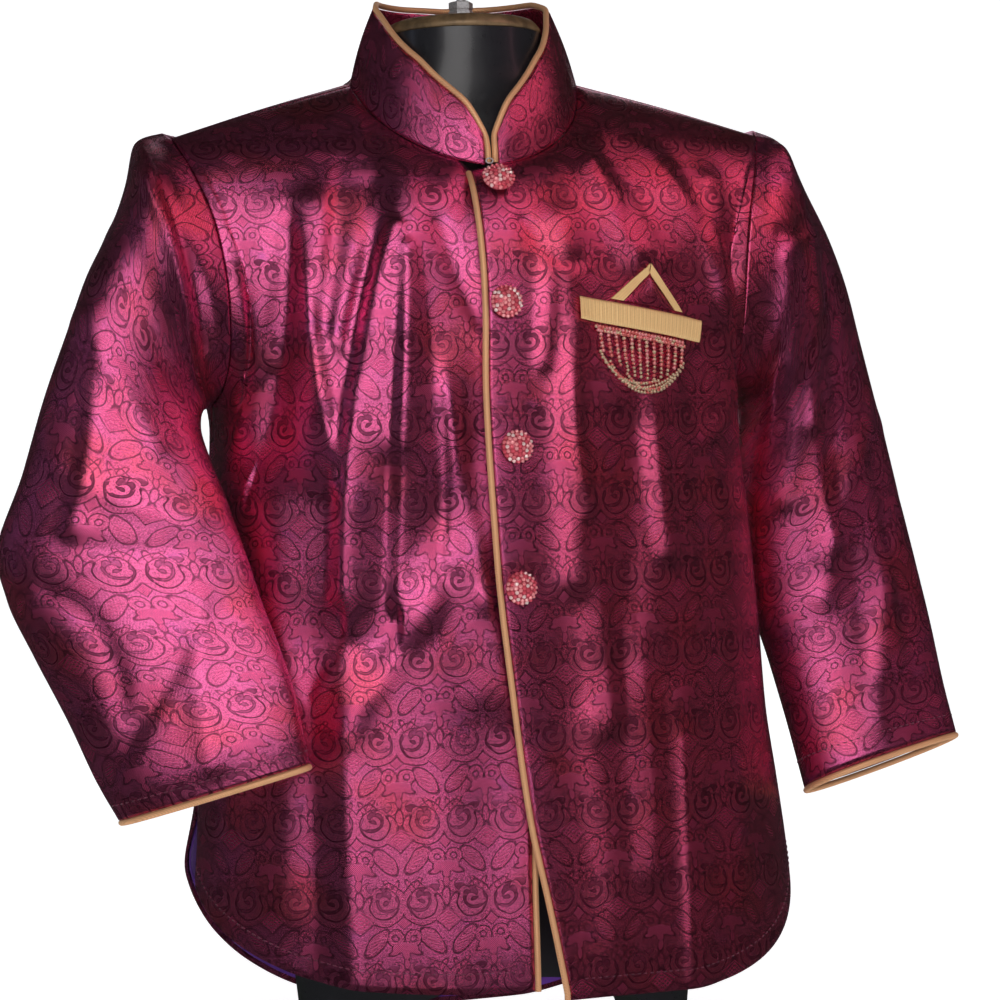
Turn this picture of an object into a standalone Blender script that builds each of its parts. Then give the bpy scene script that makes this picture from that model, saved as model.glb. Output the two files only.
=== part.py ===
"""Boy's brocade sherwani coat on a limbless dress form.

Metres, +Z up, +Y to the back, +X to the wearer's left.  The origin is on the
floor under the middle of the form.  Tables are in millimetres.
"""
import math

import bmesh
import bpy
from mathutils import Vector

MM = 0.001

# Driving sizes, in millimetres.
WALL = 1.5              # brocade with its lining
COLLAR_WALL = 1.8       # stiffened stand collar
LINING_WALL = 1.0
SEAM_GAP = 1.1          # between the outer lines of two cut pieces
LAY_GAP = 0.3           # between a wall and what follows it
PATCH_GAP = 0.5         # under a flat patch on a curved panel
PIPING_RADIUS = 1.5
BUTTON_RADIUS = 8.0
BUTTON_HEIGHT = 7.0
RING_POWER = 2.25       # squareness of the body's section
NECK_RADIUS = 39.0
LAP_PUSH = 3.4          # how far the under front is pressed in
LAP_LIFT = 0.8          # how far the upper front's edge stands off

# Grid cells of the cloth panels.
NECK_CELLS = 5
SHOULDER_CELLS = 4
FRONT_ARM_CELLS = 9
BACK_ARM_CELLS = 11
SKIRT_CELLS = 11
CHEST_CELLS = 7
SLEEVE_CELLS_PER_ROW = 1

RIGHT, LEFT = -1, 1     # the wearer's sides


def table(columns, *rows):
    """Rows of numbers as dictionaries under the named columns."""
    names = columns.split()
    return [dict(zip(names, row)) for row in rows]


class Curve:
    """Smooth line through a table's points that never overshoots them."""

    def __init__(self, rows, key, value):
        self.xs = [row[key] for row in rows]
        self.ys = [row[value] for row in rows]
        spans = range(len(rows) - 1)
        self.steps = [self.xs[i + 1] - self.xs[i] for i in spans]
        rates = [(self.ys[i + 1] - self.ys[i]) / self.steps[i] for i in spans]
        self.slopes = [rates[0]]
        for before, after in zip(rates, rates[1:]):
            same_way = before * after > 0.0
            self.slopes.append(2.0 * before * after / (before + after) if same_way else 0.0)
        self.slopes.append(rates[-1])

    def __call__(self, x):
        x = min(max(x, self.xs[0]), self.xs[-1])
        i = 0
        while i < len(self.steps) - 1 and x > self.xs[i + 1]:
            i += 1
        step = self.steps[i]
        t = (x - self.xs[i]) / step
        return ((2 * t ** 3 - 3 * t ** 2 + 1) * self.ys[i]
                + (t ** 3 - 2 * t ** 2 + t) * step * self.slopes[i]
                + (3 * t ** 2 - 2 * t ** 3) * self.ys[i + 1]
                + (t ** 3 - t ** 2) * step * self.slopes[i + 1])


def smooth_step(low, high, value):
    """0 below low, 1 above high, eased between."""
    t = min(max((value - low) / (high - low), 0.0), 1.0)
    return t * t * (3.0 - 2.0 * t)


# ---------------------------------------------------------------- body tables

# Half widths and depths of the coat's body, from hem to underarm.
BODY = table(
    "z    side_front side_back front back",
    (0,   149.0,     154.0,    87.5, 87.0),
    (40,  148.5,     153.5,    87.2, 86.5),
    (90,  147.5,     151.5,    87.5, 85.5),
    (126, 145.5,     145.5,    87.0, 85.0),
    (160, 142.5,     142.5,    86.5, 84.5),
    (210, 140.0,     140.0,    86.0, 84.0),
    (260, 136.5,     136.5,    85.5, 83.5),
    (318, 131.8,     131.8,    84.5, 83.0),
    (360, 131.0,     131.0,    83.0, 82.0))

# Top edge of a front: neckline, shoulder seam, armhole.  share runs from the
# front edge to the side seam; phi is the angle of the column round the body,
# base is where the column leaves the body's rings; out and lean give the way
# the column runs as it meets the seam, sideways and from upright to lying.
FRONT_TOP = table(
    "share x    y    z      phi   base out    lean",
    (0.00, -15, -57, 426.5, 0.0,  345, 0.00,  48),
    (0.06, 0,   -57, 428.5, 4.0,  345, 0.00,  50),
    (0.13, 21,  -52, 433.5, 11.5, 345, -0.05, 52),
    (0.20, 39,  -40, 444.0, 18.5, 345, -0.10, 56),
    (0.27, 52,  -21, 459.0, 24.0, 345, -0.10, 60),
    (0.32, 58,  -1,  475.0, 27.7, 345, -0.08, 66),
    (0.47, 103, -8,  462.0, 42.0, 340, 0.05,  66),
    (0.62, 148, -12, 448.0, 56.5, 325, 0.30,  66),
    (0.70, 140, -33, 428.0, 61.3, 315, 0.60,  45),
    (0.78, 132, -46, 401.0, 65.7, 305, 0.90,  20),
    (0.85, 128, -50, 372.0, 70.0, 295, 0.90,  5),
    (0.91, 127, -44, 345.0, 74.7, 285, 0.70,  -5),
    (0.96, 129, -27, 326.5, 81.4, 275, 0.30,  0),
    (1.00, 132, 0,   318.0, 90.0, 265, 0.00,  0))

# The same for half of the back; share runs from centre back to side seam.
BACK_TOP = table(
    "share x    y   z      phi   base out    lean",
    (0.00, 0,   50, 490.5, 0.0,  360, 0.00,  28),
    (0.10, 22,  47, 489.5, 9.0,  360, -0.05, 30),
    (0.20, 41,  35, 487.5, 17.0, 360, -0.10, 40),
    (0.28, 52.5, 18, 483.5, 22.0, 360, -0.10, 72),
    (0.34, 58,  -1, 475.0, 25.0, 360, -0.08, 114),
    (0.48, 103, -8, 462.0, 40.0, 358, 0.05,  114),
    (0.62, 148, -12, 448.0, 55.0, 350, 0.30,  114),
    (0.66, 151, 4,  453.0, 57.5, 345, 0.40,  85),
    (0.72, 147, 28, 438.5, 61.0, 335, 0.60,  45),
    (0.79, 141, 46, 409.0, 65.0, 320, 0.90,  20),
    (0.85, 136, 52, 377.0, 69.5, 305, 0.90,  5),
    (0.90, 134, 44, 348.0, 75.0, 290, 0.70,  -3),
    (0.95, 133, 26, 326.5, 82.0, 275, 0.30,  0),
    (1.00, 132, 0,  318.0, 90.0, 265, 0.00,  0))

# Corners of those top edges, where two seams meet.
FRONT_NECK, BACK_NECK, SHOULDER_TIP = 0.32, 0.34, 0.62
CENTRE_FRONT = 0.06

# Hem heights round each panel; the side seam opens into a vent at 126 mm.
HEM = {
    ("front", RIGHT): table(
        "phi   z",
        (0.0,  37.5), (12.0, 38.5), (25.0, 41.5), (34.0, 44.5), (43.0, 49.0), (52.0, 55.5),
        (61.0, 63.0), (70.0, 71.5), (78.0, 80.5), (85.0, 92.0), (88.5, 105.0), (90.0, 126.0)),
    ("front", LEFT): table(
        "phi   z",
        (0.0,  33.0), (12.0, 32.5), (25.0, 32.0), (34.0, 34.0), (43.0, 38.0), (52.0, 44.0),
        (61.0, 52.5), (70.0, 64.0), (78.0, 77.0), (85.0, 92.0), (88.5, 105.0), (90.0, 126.0)),
    ("back", RIGHT): table(
        "phi   z",
        (0.0,  3.0), (10.0, 4.0), (20.0, 9.5), (32.0, 20.0), (45.0, 36.0), (58.0, 56.0),
        (66.0, 70.0), (73.0, 82.0), (80.0, 93.0), (86.0, 106.0), (90.0, 126.0)),
    ("back", LEFT): table(
        "phi   z",
        (0.0,  3.0), (10.0, 4.0), (20.0, 9.5), (32.0, 19.0), (45.0, 30.0), (58.0, 43.0),
        (66.0, 52.0), (73.0, 61.0), (80.0, 72.0), (86.0, 90.0), (90.0, 126.0)),
}

# Front edges, as distances past the centre towards the own side.
FRONT_EDGE = {
    LEFT: table(
        "z    x",
        (36,  14.8), (80, 7.5), (117, 1.0), (174, -4.7), (240, -10.0), (315, -12.0),
        (360, -10.0), (385, -8.0), (405, -6.0), (417, -5.2), (427, -10.5)),
    RIGHT: table(
        "z    x",
        (36,  1.5), (80, 0.5), (117, -1.5), (174, -5.0), (240, -8.0), (315, -8.0),
        (360, -8.0), (400, -8.0), (426, -7.0)),
}

# Largest folds: a ridge (plus) or trough (minus) along a line on the panel.
FOLDS = {
    ("front", RIGHT): table(
        "x0   z0   x1   z1   width height",
        (44,  425, 58,  300, 11.0, 3.0),
        (62,  420, 74,  335, 8.0,  -2.2),
        (88,  410, 86,  320, 9.0,  2.6),
        (30,  330, 16,  180, 12.0, 2.0),
        (78,  300, 82,  45,  9.0,  1.8),
        (100, 395, 112, 300, 8.0,  -2.5)),
    ("front", LEFT): table(
        "x0   z0   x1   z1   width height",
        (50,  430, 78,  380, 8.0,  2.4),
        (30,  400, 26,  230, 9.0,  2.6),
        (60,  300, 50,  190, 12.0, -2.2),
        (112, 420, 112, 300, 8.0,  2.8),
        (94,  330, 100, 230, 9.0,  -2.0),
        (81,  170, 81,  35,  9.0,  1.8)),
    ("back", LEFT): table(
        "x0   z0   x1   z1   width height",
        (60,  455, 84,  330, 10.0, 2.2),
        (0,   440, 0,   250, 10.0, -2.0),
        (100, 400, 104, 260, 10.0, 2.4),
        (52,  240, 60,  40,  14.0, 2.6)),
    ("back", RIGHT): table(
        "x0   z0   x1   z1   width height",
        (66,  450, 78,  345, 9.0,  2.4),
        (98,  410, 106, 280, 11.0, 2.2),
        (40,  300, 46,  60,  13.0, 2.4)),
}

# ------------------------------------------------------------- sleeve tables

# A ring for each row from armhole to cuff: its outer and inner points and how
# far it bulges to the front and back; tilt lifts its front.
SLEEVE = {
    RIGHT: table(
        "out_x out_y out_z in_x  in_y in_z front back tilt",
        (150,  2,   452.5, 132,  0,   318.0, 49,  50, 0.00),
        (158,  2,   451.0, 134,  -3,  317.5, 52,  50, 0.00),
        (165,  1,   447.0, 137,  -7,  316.5, 54,  47, 0.00),
        (170,  1,   428.0, 139.5, -11, 314.5, 51, 42, 0.00),
        (178,  0,   405.0, 140.5, -17, 311.0, 46, 37, 0.00),
        (191,  -4,  378.0, 140,  -25, 304.0, 41,  34, 0.00),
        (200,  -8,  350.0, 138,  -38, 292.0, 36,  30, 0.00),
        (211,  -10, 318.0, 134,  -50, 276.0, 32,  27, 0.00),
        (221.5, -12, 287.0, 129.5, -57, 259.0, 29, 25, 0.00),
        (236.3, -15, 250.0, 124.3, -62, 241.0, 26, 23, 0.00),
        (232.3, -19, 228.0, 119.6, -66, 223.0, 25, 22, 0.00),
        (221,  -25, 202.0, 113.8, -73, 204.0, 24, 20, 0.00),
        (206.5, -33, 171.0, 108.6, -79, 184.0, 23, 18, 0.03),
        (195,  -40, 143.0, 105.4, -83, 165.0, 22, 17, 0.06),
        (186,  -44, 125.0, 103.2, -85, 149.5, 19.5, 16, 0.08)),
    LEFT: table(
        "out_x out_y out_z in_x  in_y in_z front back tilt",
        (150,  2,   452.5, 132,  0,   318.0, 49,  50, 0.00),
        (158,  3,   450.0, 135,  0,   317.0, 50,  49, 0.00),
        (164.3, 2,  445.5, 138.5, 1,  315.5, 50,  46.5, 0.00),
        (175.5, 1,  423.0, 140.5, 3,  312.0, 46,  42.5, 0.00),
        (188.5, 0,  396.5, 142,  5,   306.0, 41,  38, 0.00),
        (197.5, -1, 370.0, 143,  7,   297.0, 37,  35, 0.00),
        (203,  -3,  344.0, 143.5, 8,  284.0, 34,  33, 0.00),
        (208.5, -5, 318.0, 143.5, 8,  268.0, 31,  31, 0.02),
        (214,  -7,  292.0, 143,  7,   249.0, 29,  29, 0.05),
        (219.5, -10, 262.0, 142.5, 5, 227.0, 27,  27, 0.10),
        (225.5, -14, 229.0, 143.5, 2, 204.0, 25,  25, 0.15),
        (231,  -18, 197.0, 149,  -2,  180.0, 24,  24, 0.20),
        (235,  -23, 166.0, 155,  -8,  151.0, 23,  23, 0.26),
        (238.8, -28, 142.0, 161, -15, 117.0, 22,  22, 0.30)),
}

# -------------------------------------------------------------- other tables

# Stand collar, by angle round the neck from centre front: height, lean inward.
COLLAR = table(
    "phi   rise  lean",
    (0.0,  14.5, 2.0), (5.0, 22.0, 3.5), (10.0, 27.5, 5.0), (18.0, 31.5, 7.0),
    (30.0, 35.0, 9.0), (45.0, 38.5, 10.5), (67.0, 38.5, 12.0), (90.0, 36.0, 12.5),
    (103.0, 33.5, 12.0), (135.0, 29.5, 8.0), (180.0, 27.0, 5.0))

# The dress form, from its base to the top of the neck.
FORM = table(
    "z    side front back",
    (0,   96,  57, 60), (30, 99, 63, 66), (60, 101, 66, 71), (110, 101, 67, 74),
    (160, 97,  68, 70), (210, 93, 69, 66), (260, 94, 70, 66), (310, 99, 70, 70),
    (350, 106, 69, 72), (385, 113, 62, 70), (408, 114, 53, 64), (425, 109, 46, 58),
    (437, 92.5, 40.5, 54), (447, 73.6, 38.6, 50), (455, 59.4, 38.3, 46), (463, 50, 39, 43),
    (471, 45.5, 39.3, 41), (481, 41, 38.7, 39.5), (490, NECK_RADIUS, 39, 39),
    (499, NECK_RADIUS, 39, 39))
ARCH_HALF_WIDTH, ARCH_HEIGHT = 74.0, 39.5
CAP_TOP = 508.5

BUTTONS = table("x z", (0.0, 419.5), (-3.0, 360.7), (-1.3, 292.6), (-2.1, 226.4))

# Breast pocket on the left front: welt corners, pocket square, bead fringe.
WELT = table("x z", (33.6, 352.2), (98.6, 341.2), (100.4, 352.0), (33.8, 363.2))
SQUARE = table("x z", (50.8, 361.6), (89.2, 355.2), (73.0, 378.8))
SQUARE_BORDER = 4.4
FRINGE_HEAD = table("x z", (42.0, 347.6), (90.0, 339.5), (90.2, 341.2), (42.2, 349.3))
FRINGE_DROPS = (15.0, 17.0, 18.5, 19.0, 18.5, 20.0, 20.5, 20.0, 18.5, 17.0, 15.0, 12.5)


# ------------------------------------------------------------- body surfaces

class SeamLine:
    """A panel's top edge: three smooth runs that meet in two corners."""

    FIELDS = ("x", "y", "z")

    def __init__(self, rows, corners):
        self.phi, self.base = Curve(rows, "share", "phi"), Curve(rows, "share", "base")
        self.lean, self.out = Curve(rows, "share", "lean"), Curve(rows, "share", "out")
        ends = [rows[0]["share"], *corners, rows[-1]["share"]]
        self.runs = []
        for low, high in zip(ends, ends[1:]):
            part = [row for row in rows if low <= row["share"] <= high]
            self.runs.append((high, [Curve(part, "share", field) for field in self.FIELDS]))

    def point(self, share):
        for high, curves in self.runs:
            if share <= high + 1e-9:
                break
        return Vector([curve(share) for curve in curves])


SIDE = {"front": Curve(BODY, "z", "side_front"), "back": Curve(BODY, "z", "side_back")}
DEPTH = {"front": Curve(BODY, "z", "front"), "back": Curve(BODY, "z", "back")}
FACING = {"front": -1.0, "back": 1.0}
HEM_LINE = {panel: Curve(rows, "phi", "z") for panel, rows in HEM.items()}
TOP = {
    "front": SeamLine(FRONT_TOP, (FRONT_NECK, SHOULDER_TIP)),
    "back": SeamLine(BACK_TOP, (BACK_NECK, SHOULDER_TIP)),
}
EDGE = {side: Curve(rows, "z", "x") for side, rows in FRONT_EDGE.items()}
SKIRT_SHARE = 0.66      # of a column's length, below the chest


def ring_point(face, phi, z):
    """A point of the body's section at height z, on the wearer's own side."""
    angle = math.radians(phi)
    power = 2.0 / RING_POWER
    x = SIDE[face](z) * math.copysign(abs(math.sin(angle)) ** power, angle)
    y = FACING[face] * DEPTH[face](z) * max(math.cos(angle), 0.0) ** power
    return Vector((x, y, z))


def edge_angle(side, z):
    """Where the front edge stands round the body, in degrees."""
    x = EDGE[side](z)
    reach = (abs(x) / SIDE["front"](z)) ** (RING_POWER / 2.0)
    return math.copysign(math.degrees(math.asin(reach)), x)


def column_angle(face, side, share, z):
    phi = TOP[face].phi(share)
    if face == "back":
        return phi
    start = edge_angle(side, z)
    return start + phi * (90.0 - start) / 90.0


def lap_offset(face, side, point, v):
    """The under front is pressed in at the edge, the upper one stands off."""
    if face == "back":
        return 0.0
    near_neck = smooth_step(0.8, 1.0, v)
    fade = 1.0 - smooth_step(14.0 + 4.0 * near_neck, 46.0 - 18.0 * near_neck, point.x)
    if side == LEFT:
        return LAP_LIFT * (1.0 - smooth_step(-10.0, 20.0, point.x)) * smooth_step(0.0, 0.03, 1.0 - v)
    low = smooth_step(40.0, 130.0, point.z)
    return -LAP_PUSH * fade * (0.35 + 0.65 * low + 0.2 * near_neck)


def fold_height(folds, point):
    """Sum of the soft ridges and troughs at a point, in millimetres."""
    total = 0.0
    for fold in folds:
        ax, az = fold["x0"], fold["z0"]
        bx, bz = fold["x1"] - ax, fold["z1"] - az
        t = ((point.x - ax) * bx + (point.z - az) * bz) / (bx * bx + bz * bz)
        t = min(max(t, 0.0), 1.0)
        gap = math.hypot(point.x - ax - t * bx, point.z - az - t * bz)
        total += fold["height"] * math.exp(-(gap / fold["width"]) ** 2)
    return total


def plain_point(face, side, share, v):
    """The panel without folds, in millimetres, on the wearer's own side."""
    top = TOP[face]
    base = top.base(share)
    if v <= SKIRT_SHARE:
        low = HEM_LINE[face, side](top.phi(share))
        z = low + (base - low) * v / SKIRT_SHARE
        return ring_point(face, column_angle(face, side, share, z), z)
    start = ring_point(face, column_angle(face, side, share, base), base)
    below = ring_point(face, column_angle(face, side, share, base - 4.0), base - 4.0)
    end = top.point(share)
    if face == "front" and share < CENTRE_FRONT:
        past = EDGE[side](end.z) / FRONT_TOP[0]["x"]
        end.x *= past
    reach = (end - start).length
    lean = math.radians(top.lean(share))
    leave = (start - below).normalized() * reach
    arrive = Vector((top.out(share), -FACING[face] * math.sin(lean), math.cos(lean)))
    arrive = arrive.normalized() * reach
    t = (v - SKIRT_SHARE) / (1.0 - SKIRT_SHARE)
    return ((2 * t ** 3 - 3 * t ** 2 + 1) * start + (t ** 3 - 2 * t ** 2 + t) * leave
            + (3 * t ** 2 - 2 * t ** 3) * end + (t ** 3 - t ** 2) * arrive)


def surface_normal(surface, u, v, flip):
    """Unit normal of a surface function, pointing out of the garment."""
    step = 0.002
    along = surface(min(u + step, 1.0), v) - surface(max(u - step, 0.0), v)
    up = surface(u, min(v + step, 1.0)) - surface(u, max(v - step, 0.0))
    normal = along.cross(up).normalized()
    return -normal if flip else normal


def panel_surface(face, side, raise_by=0.0):
    """The finished outer surface of a panel in metres, as a function of u, v."""
    def plain(u, v):
        return plain_point(face, side, u, v)

    def surface(u, v):
        point = plain(u, v)
        normal = surface_normal(plain, u, v, face == "back")
        calm = smooth_step(0.0, 0.10, 1.0 - v) * smooth_step(0.0, 0.06, 1.0 - u)
        lift = fold_height(FOLDS[face, side], point) * calm
        lift += lap_offset(face, side, point, v)
        point = point + normal * (lift + raise_by)
        point.y += FACING[face] * SEAM_GAP / 2.0
        return Vector((side * point.x, point.y, point.z)) * MM

    return surface


# ----------------------------------------------------------- sleeve surfaces

ARM_TURN = 0.45         # share of the armhole that the front holds


def armhole_point(around):
    """The armhole seam, from the shoulder tip down the front and up the back."""
    if around <= ARM_TURN:
        share = SHOULDER_TIP + (1.0 - SHOULDER_TIP) * around / ARM_TURN
        point = TOP["front"].point(share)
    else:
        share = 1.0 - (1.0 - SHOULDER_TIP) * (around - ARM_TURN) / (1.0 - ARM_TURN)
        point = TOP["back"].point(share)
    return point + Vector((SEAM_GAP, 0.0, 0.0))


def sleeve_surface(side):
    """Outer surface of a sleeve in metres: around and along both run 0 to 1."""
    rows = [dict(row, ring=i) for i, row in enumerate(SLEEVE[side])]
    column = {name: Curve(rows, "ring", name) for name in rows[0] if name != "ring"}

    def frame(ring):
        outer = Vector([column[name](ring) for name in ("out_x", "out_y", "out_z")])
        inner = Vector([column[name](ring) for name in ("in_x", "in_y", "in_z")])
        half = (outer - inner) / 2.0
        ahead = Vector((0.0, -1.0, column["tilt"](ring)))
        ahead = (ahead - half * ahead.dot(half) / half.length_squared).normalized()
        return (outer + inner) / 2.0, half, ahead

    def ellipse(ring, angle):
        centre, half, ahead = frame(ring)
        bulge = column["front"](ring) if math.sin(angle) > 0.0 else column["back"](ring)
        return centre + half * math.cos(angle) + ahead * (bulge * math.sin(angle))

    def seam_angle(around):
        centre, half, ahead = frame(0.0)
        offset = armhole_point(around) - centre
        angle = math.atan2(offset.dot(ahead) / column["front"](0.0),
                           offset.dot(half) / half.length_squared)
        return angle + 2.0 * math.pi if around > ARM_TURN and angle < 0.5 else angle

    def surface(around, along):
        ring = along * (len(rows) - 1)
        seam = seam_angle(around)
        even = seam_angle(0.0) + 2.0 * math.pi * around
        angle = seam + (even - seam) * smooth_step(0.0, 5.0, ring)
        point = ellipse(ring, angle)
        rest = max(1.0 - ring / 3.0, 0.0) ** 2
        point += (armhole_point(around) - ellipse(0.0, seam)) * rest
        return Vector((side * point.x, point.y, point.z)) * MM

    return surface


# ----------------------------------------------------------- collar surface

def neck_point(around):
    """Neck seam from centre front (0) over the shoulder to centre back (1)."""
    if around <= 0.5:
        share = CENTRE_FRONT + (FRONT_NECK - CENTRE_FRONT) * around / 0.5
        return TOP["front"].point(share)
    return TOP["back"].point(BACK_NECK * (1.0 - (around - 0.5) / 0.5))


def collar_surface(around, up):
    """Collar's outer surface: around runs from the left end to the right end."""
    rise, lean = Curve(COLLAR, "phi", "rise"), Curve(COLLAR, "phi", "lean")
    half = 1.0 - abs(2.0 * around - 1.0)
    side = LEFT if around < 0.5 else RIGHT
    point = neck_point(half)
    out = Vector((point.x, point.y, 0.0)).normalized()
    phi = math.degrees(math.atan2(point.x, -point.y))
    point += Vector((0.0, 0.0, SEAM_GAP + 0.2))
    point += (Vector((0.0, 0.0, rise(phi))) - out * lean(phi)) * up
    ends = COLLAR_END_GAP * (1.0 - smooth_step(0.0, 0.2, half))
    return Vector((side * (point.x + ends), point.y, point.z)) * MM


COLLAR_END_GAP = 3.5    # half the space that the two piped ends leave


# -------------------------------------------------------------- mesh helpers

def make_material(name, colour, roughness, metallic):
    material = bpy.data.materials.new(name)
    material.use_nodes = True
    shader = material.node_tree.nodes["Principled BSDF"]
    shader.inputs["Base Color"].default_value = (*colour, 1.0)
    shader.inputs["Roughness"].default_value = roughness
    shader.inputs["Metallic"].default_value = metallic
    material.diffuse_color = (*colour, 1.0)
    return material


def link(collection, name, data, material):
    thing = bpy.data.objects.new(name, data)
    if data is not None:
        data.materials.append(material)
    collection.objects.link(thing)
    return thing


def spread(low, high, cells):
    """Evenly spaced values from low to high, one more than the cells."""
    return [low + (high - low) * i / cells for i in range(cells + 1)]


def join_spans(*spans):
    """Runs of values that share their ends, as one list."""
    values = list(spans[0])
    for span in spans[1:]:
        values += span[1:]
    return values


def grid_mesh(name, surface, us, vs, flip=False, closed=False):
    """A grid laid on a surface at the given u and v values."""
    mesh = bmesh.new()
    bmesh.ops.create_grid(mesh, x_segments=len(us) - 1, y_segments=len(vs) - 1, size=1.0)
    for vert in mesh.verts:
        i = round((vert.co.x + 1.0) / 2.0 * (len(us) - 1))
        j = round((vert.co.y + 1.0) / 2.0 * (len(vs) - 1))
        vert.co = surface(us[i], vs[j])
    if closed:
        bmesh.ops.remove_doubles(mesh, verts=mesh.verts, dist=1e-6)
    if flip:
        bmesh.ops.reverse_faces(mesh, faces=mesh.faces)
    data = bpy.data.meshes.new(name)
    mesh.to_mesh(data)
    mesh.free()
    data.shade_smooth()
    return data


def add_wall(thing, thickness):
    """Thicken a sheet inwards from its outer surface."""
    wall = thing.modifiers.new("wall", "SOLIDIFY")
    wall.thickness = thickness * MM
    wall.offset = -1.0
    return thing


def tube(collection, name, points, radius, material, closed=False, resolution=1):
    """A round cord through the points, as a curve with filled caps."""
    curve = bpy.data.curves.new(name, "CURVE")
    curve.dimensions = "3D"
    curve.bevel_depth = radius * MM
    curve.bevel_resolution = resolution
    curve.use_fill_caps = not closed
    spline = curve.splines.new("POLY")
    spline.points.add(len(points) - 1)
    for place, point in zip(spline.points, points):
        place.co = (*point, 1.0)
    spline.use_cyclic_u = closed
    return link(collection, name, curve, material)


def edge_line(surface, places, wall, flip, away):
    """Points just outside a sheet's edge, in the middle of its wall.

    Each place is (u, v, du, dv): the edge's own u and v and the way inside.
    """
    points = []
    edges = [surface(u, v) for u, v, _, _ in places]
    for i, (u, v, du, dv) in enumerate(places):
        along = (edges[min(i + 1, len(edges) - 1)] - edges[max(i - 1, 0)]).normalized()
        out = (edges[i] - surface(u + du * 0.01, v + dv * 0.01)).normalized()
        out = (out - along * out.dot(along)).normalized()
        normal = surface_normal(surface, u, v, flip)
        points.append(edges[i] + out * (away * MM) - normal * (wall / 2.0 * MM))
    return points


# --------------------------------------------------------------- the pieces

def front_columns():
    return join_spans(
        [0.0, CENTRE_FRONT],
        spread(CENTRE_FRONT, FRONT_NECK, NECK_CELLS),
        spread(FRONT_NECK, SHOULDER_TIP, SHOULDER_CELLS),
        spread(SHOULDER_TIP, 1.0, FRONT_ARM_CELLS))


def back_columns():
    return join_spans(
        spread(0.0, BACK_NECK, NECK_CELLS),
        spread(BACK_NECK, SHOULDER_TIP, SHOULDER_CELLS),
        spread(SHOULDER_TIP, 1.0, BACK_ARM_CELLS))


def panel_rows():
    return join_spans(spread(0.0, SKIRT_SHARE, SKIRT_CELLS), spread(SKIRT_SHARE, 1.0, CHEST_CELLS))


def build_front(collection, name, side, material):
    data = grid_mesh(name, panel_surface("front", side), front_columns(), panel_rows(),
                     flip=side == RIGHT)
    return add_wall(link(collection, name, data, material), WALL)


def whole_back(raise_by):
    """Both halves of the back as one surface, u from right side to left."""
    halves = {side: panel_surface("back", side, raise_by) for side in (RIGHT, LEFT)}

    def surface(u, v):
        side = RIGHT if u < 0.5 else LEFT
        return halves[side](abs(2.0 * u - 1.0), v)

    return surface


def back_spread():
    half = back_columns()
    return [0.5 - share / 2.0 for share in reversed(half)] + [0.5 + share / 2.0 for share in half[1:]]


def build_back(collection, material):
    data = grid_mesh("back", whole_back(0.0), back_spread(), panel_rows(), flip=True)
    return add_wall(link(collection, "back", data, material), WALL)


def build_lining(collection, material):
    """The lining shows inside the back's skirt, so it reaches the waist."""
    inside = -(WALL + PATCH_GAP)
    columns = [u for u in back_spread() if 0.01 < u < 0.99]
    rows = [0.008] + [v for v in panel_rows() if 0.0 < v < 0.4]
    data = grid_mesh("back_lining", whole_back(inside), columns, rows, flip=True)
    return add_wall(link(collection, "back_lining", data, material), LINING_WALL)


def sleeve_around():
    return join_spans(spread(0.0, ARM_TURN, FRONT_ARM_CELLS), spread(ARM_TURN, 1.0, BACK_ARM_CELLS))


def build_sleeve(collection, name, side, material):
    rings = (len(SLEEVE[side]) - 1) * SLEEVE_CELLS_PER_ROW
    data = grid_mesh(name, sleeve_surface(side), sleeve_around(), spread(0.0, 1.0, rings),
                     flip=side == RIGHT, closed=True)
    return add_wall(link(collection, name, data, material), WALL)


def collar_columns():
    """Closer set at the rounded front ends."""
    quarter = spread(0.1, 0.5, NECK_CELLS - 1)
    half = join_spans([0.0, 0.025, 0.055, 0.1], quarter, spread(0.5, 1.0, NECK_CELLS))
    left = [value / 2.0 for value in half]
    return left + [1.0 - value for value in reversed(left[:-1])]


def build_collar(collection, material):
    data = grid_mesh("collar", collar_surface, collar_columns(), spread(0.0, 1.0, 4))
    return add_wall(link(collection, "collar", data, material), COLLAR_WALL)


def build_pipings(collection, material):
    away = PIPING_RADIUS + LAY_GAP
    columns, ups = collar_columns(), spread(0.0, 1.0, 4)
    ups[0] = 0.1
    places = [(0.0, v, 1, 0) for v in ups[:-1]] + [(0.0, 1.0, 1, -1)]
    places += [(u, 1.0, 0, -1) for u in columns[1:-1]]
    places += [(1.0, 1.0, -1, -1)] + [(1.0, v, -1, 0) for v in reversed(ups[:-1])]
    line = edge_line(collar_surface, places, COLLAR_WALL, False, away)
    tube(collection, "piping_collar", line, PIPING_RADIUS, material)
    for side, name in ((LEFT, "piping_front_left"), (RIGHT, "piping_front_right")):
        surface = panel_surface("front", side)
        rows = panel_rows()[:-1] + [0.995]
        line = edge_line(surface, [(0.0, v, 1, 0) for v in rows], WALL, side == RIGHT, away)
        tube(collection, name, line, PIPING_RADIUS, material)
    for side, name in ((LEFT, "piping_cuff_left"), (RIGHT, "piping_cuff_right")):
        places = [(a, 1.0, 0, -1) for a in sleeve_around()[:-1]]
        line = edge_line(sleeve_surface(side), places, WALL, side == RIGHT, away)
        tube(collection, name, line, PIPING_RADIUS, material, closed=True)


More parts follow.
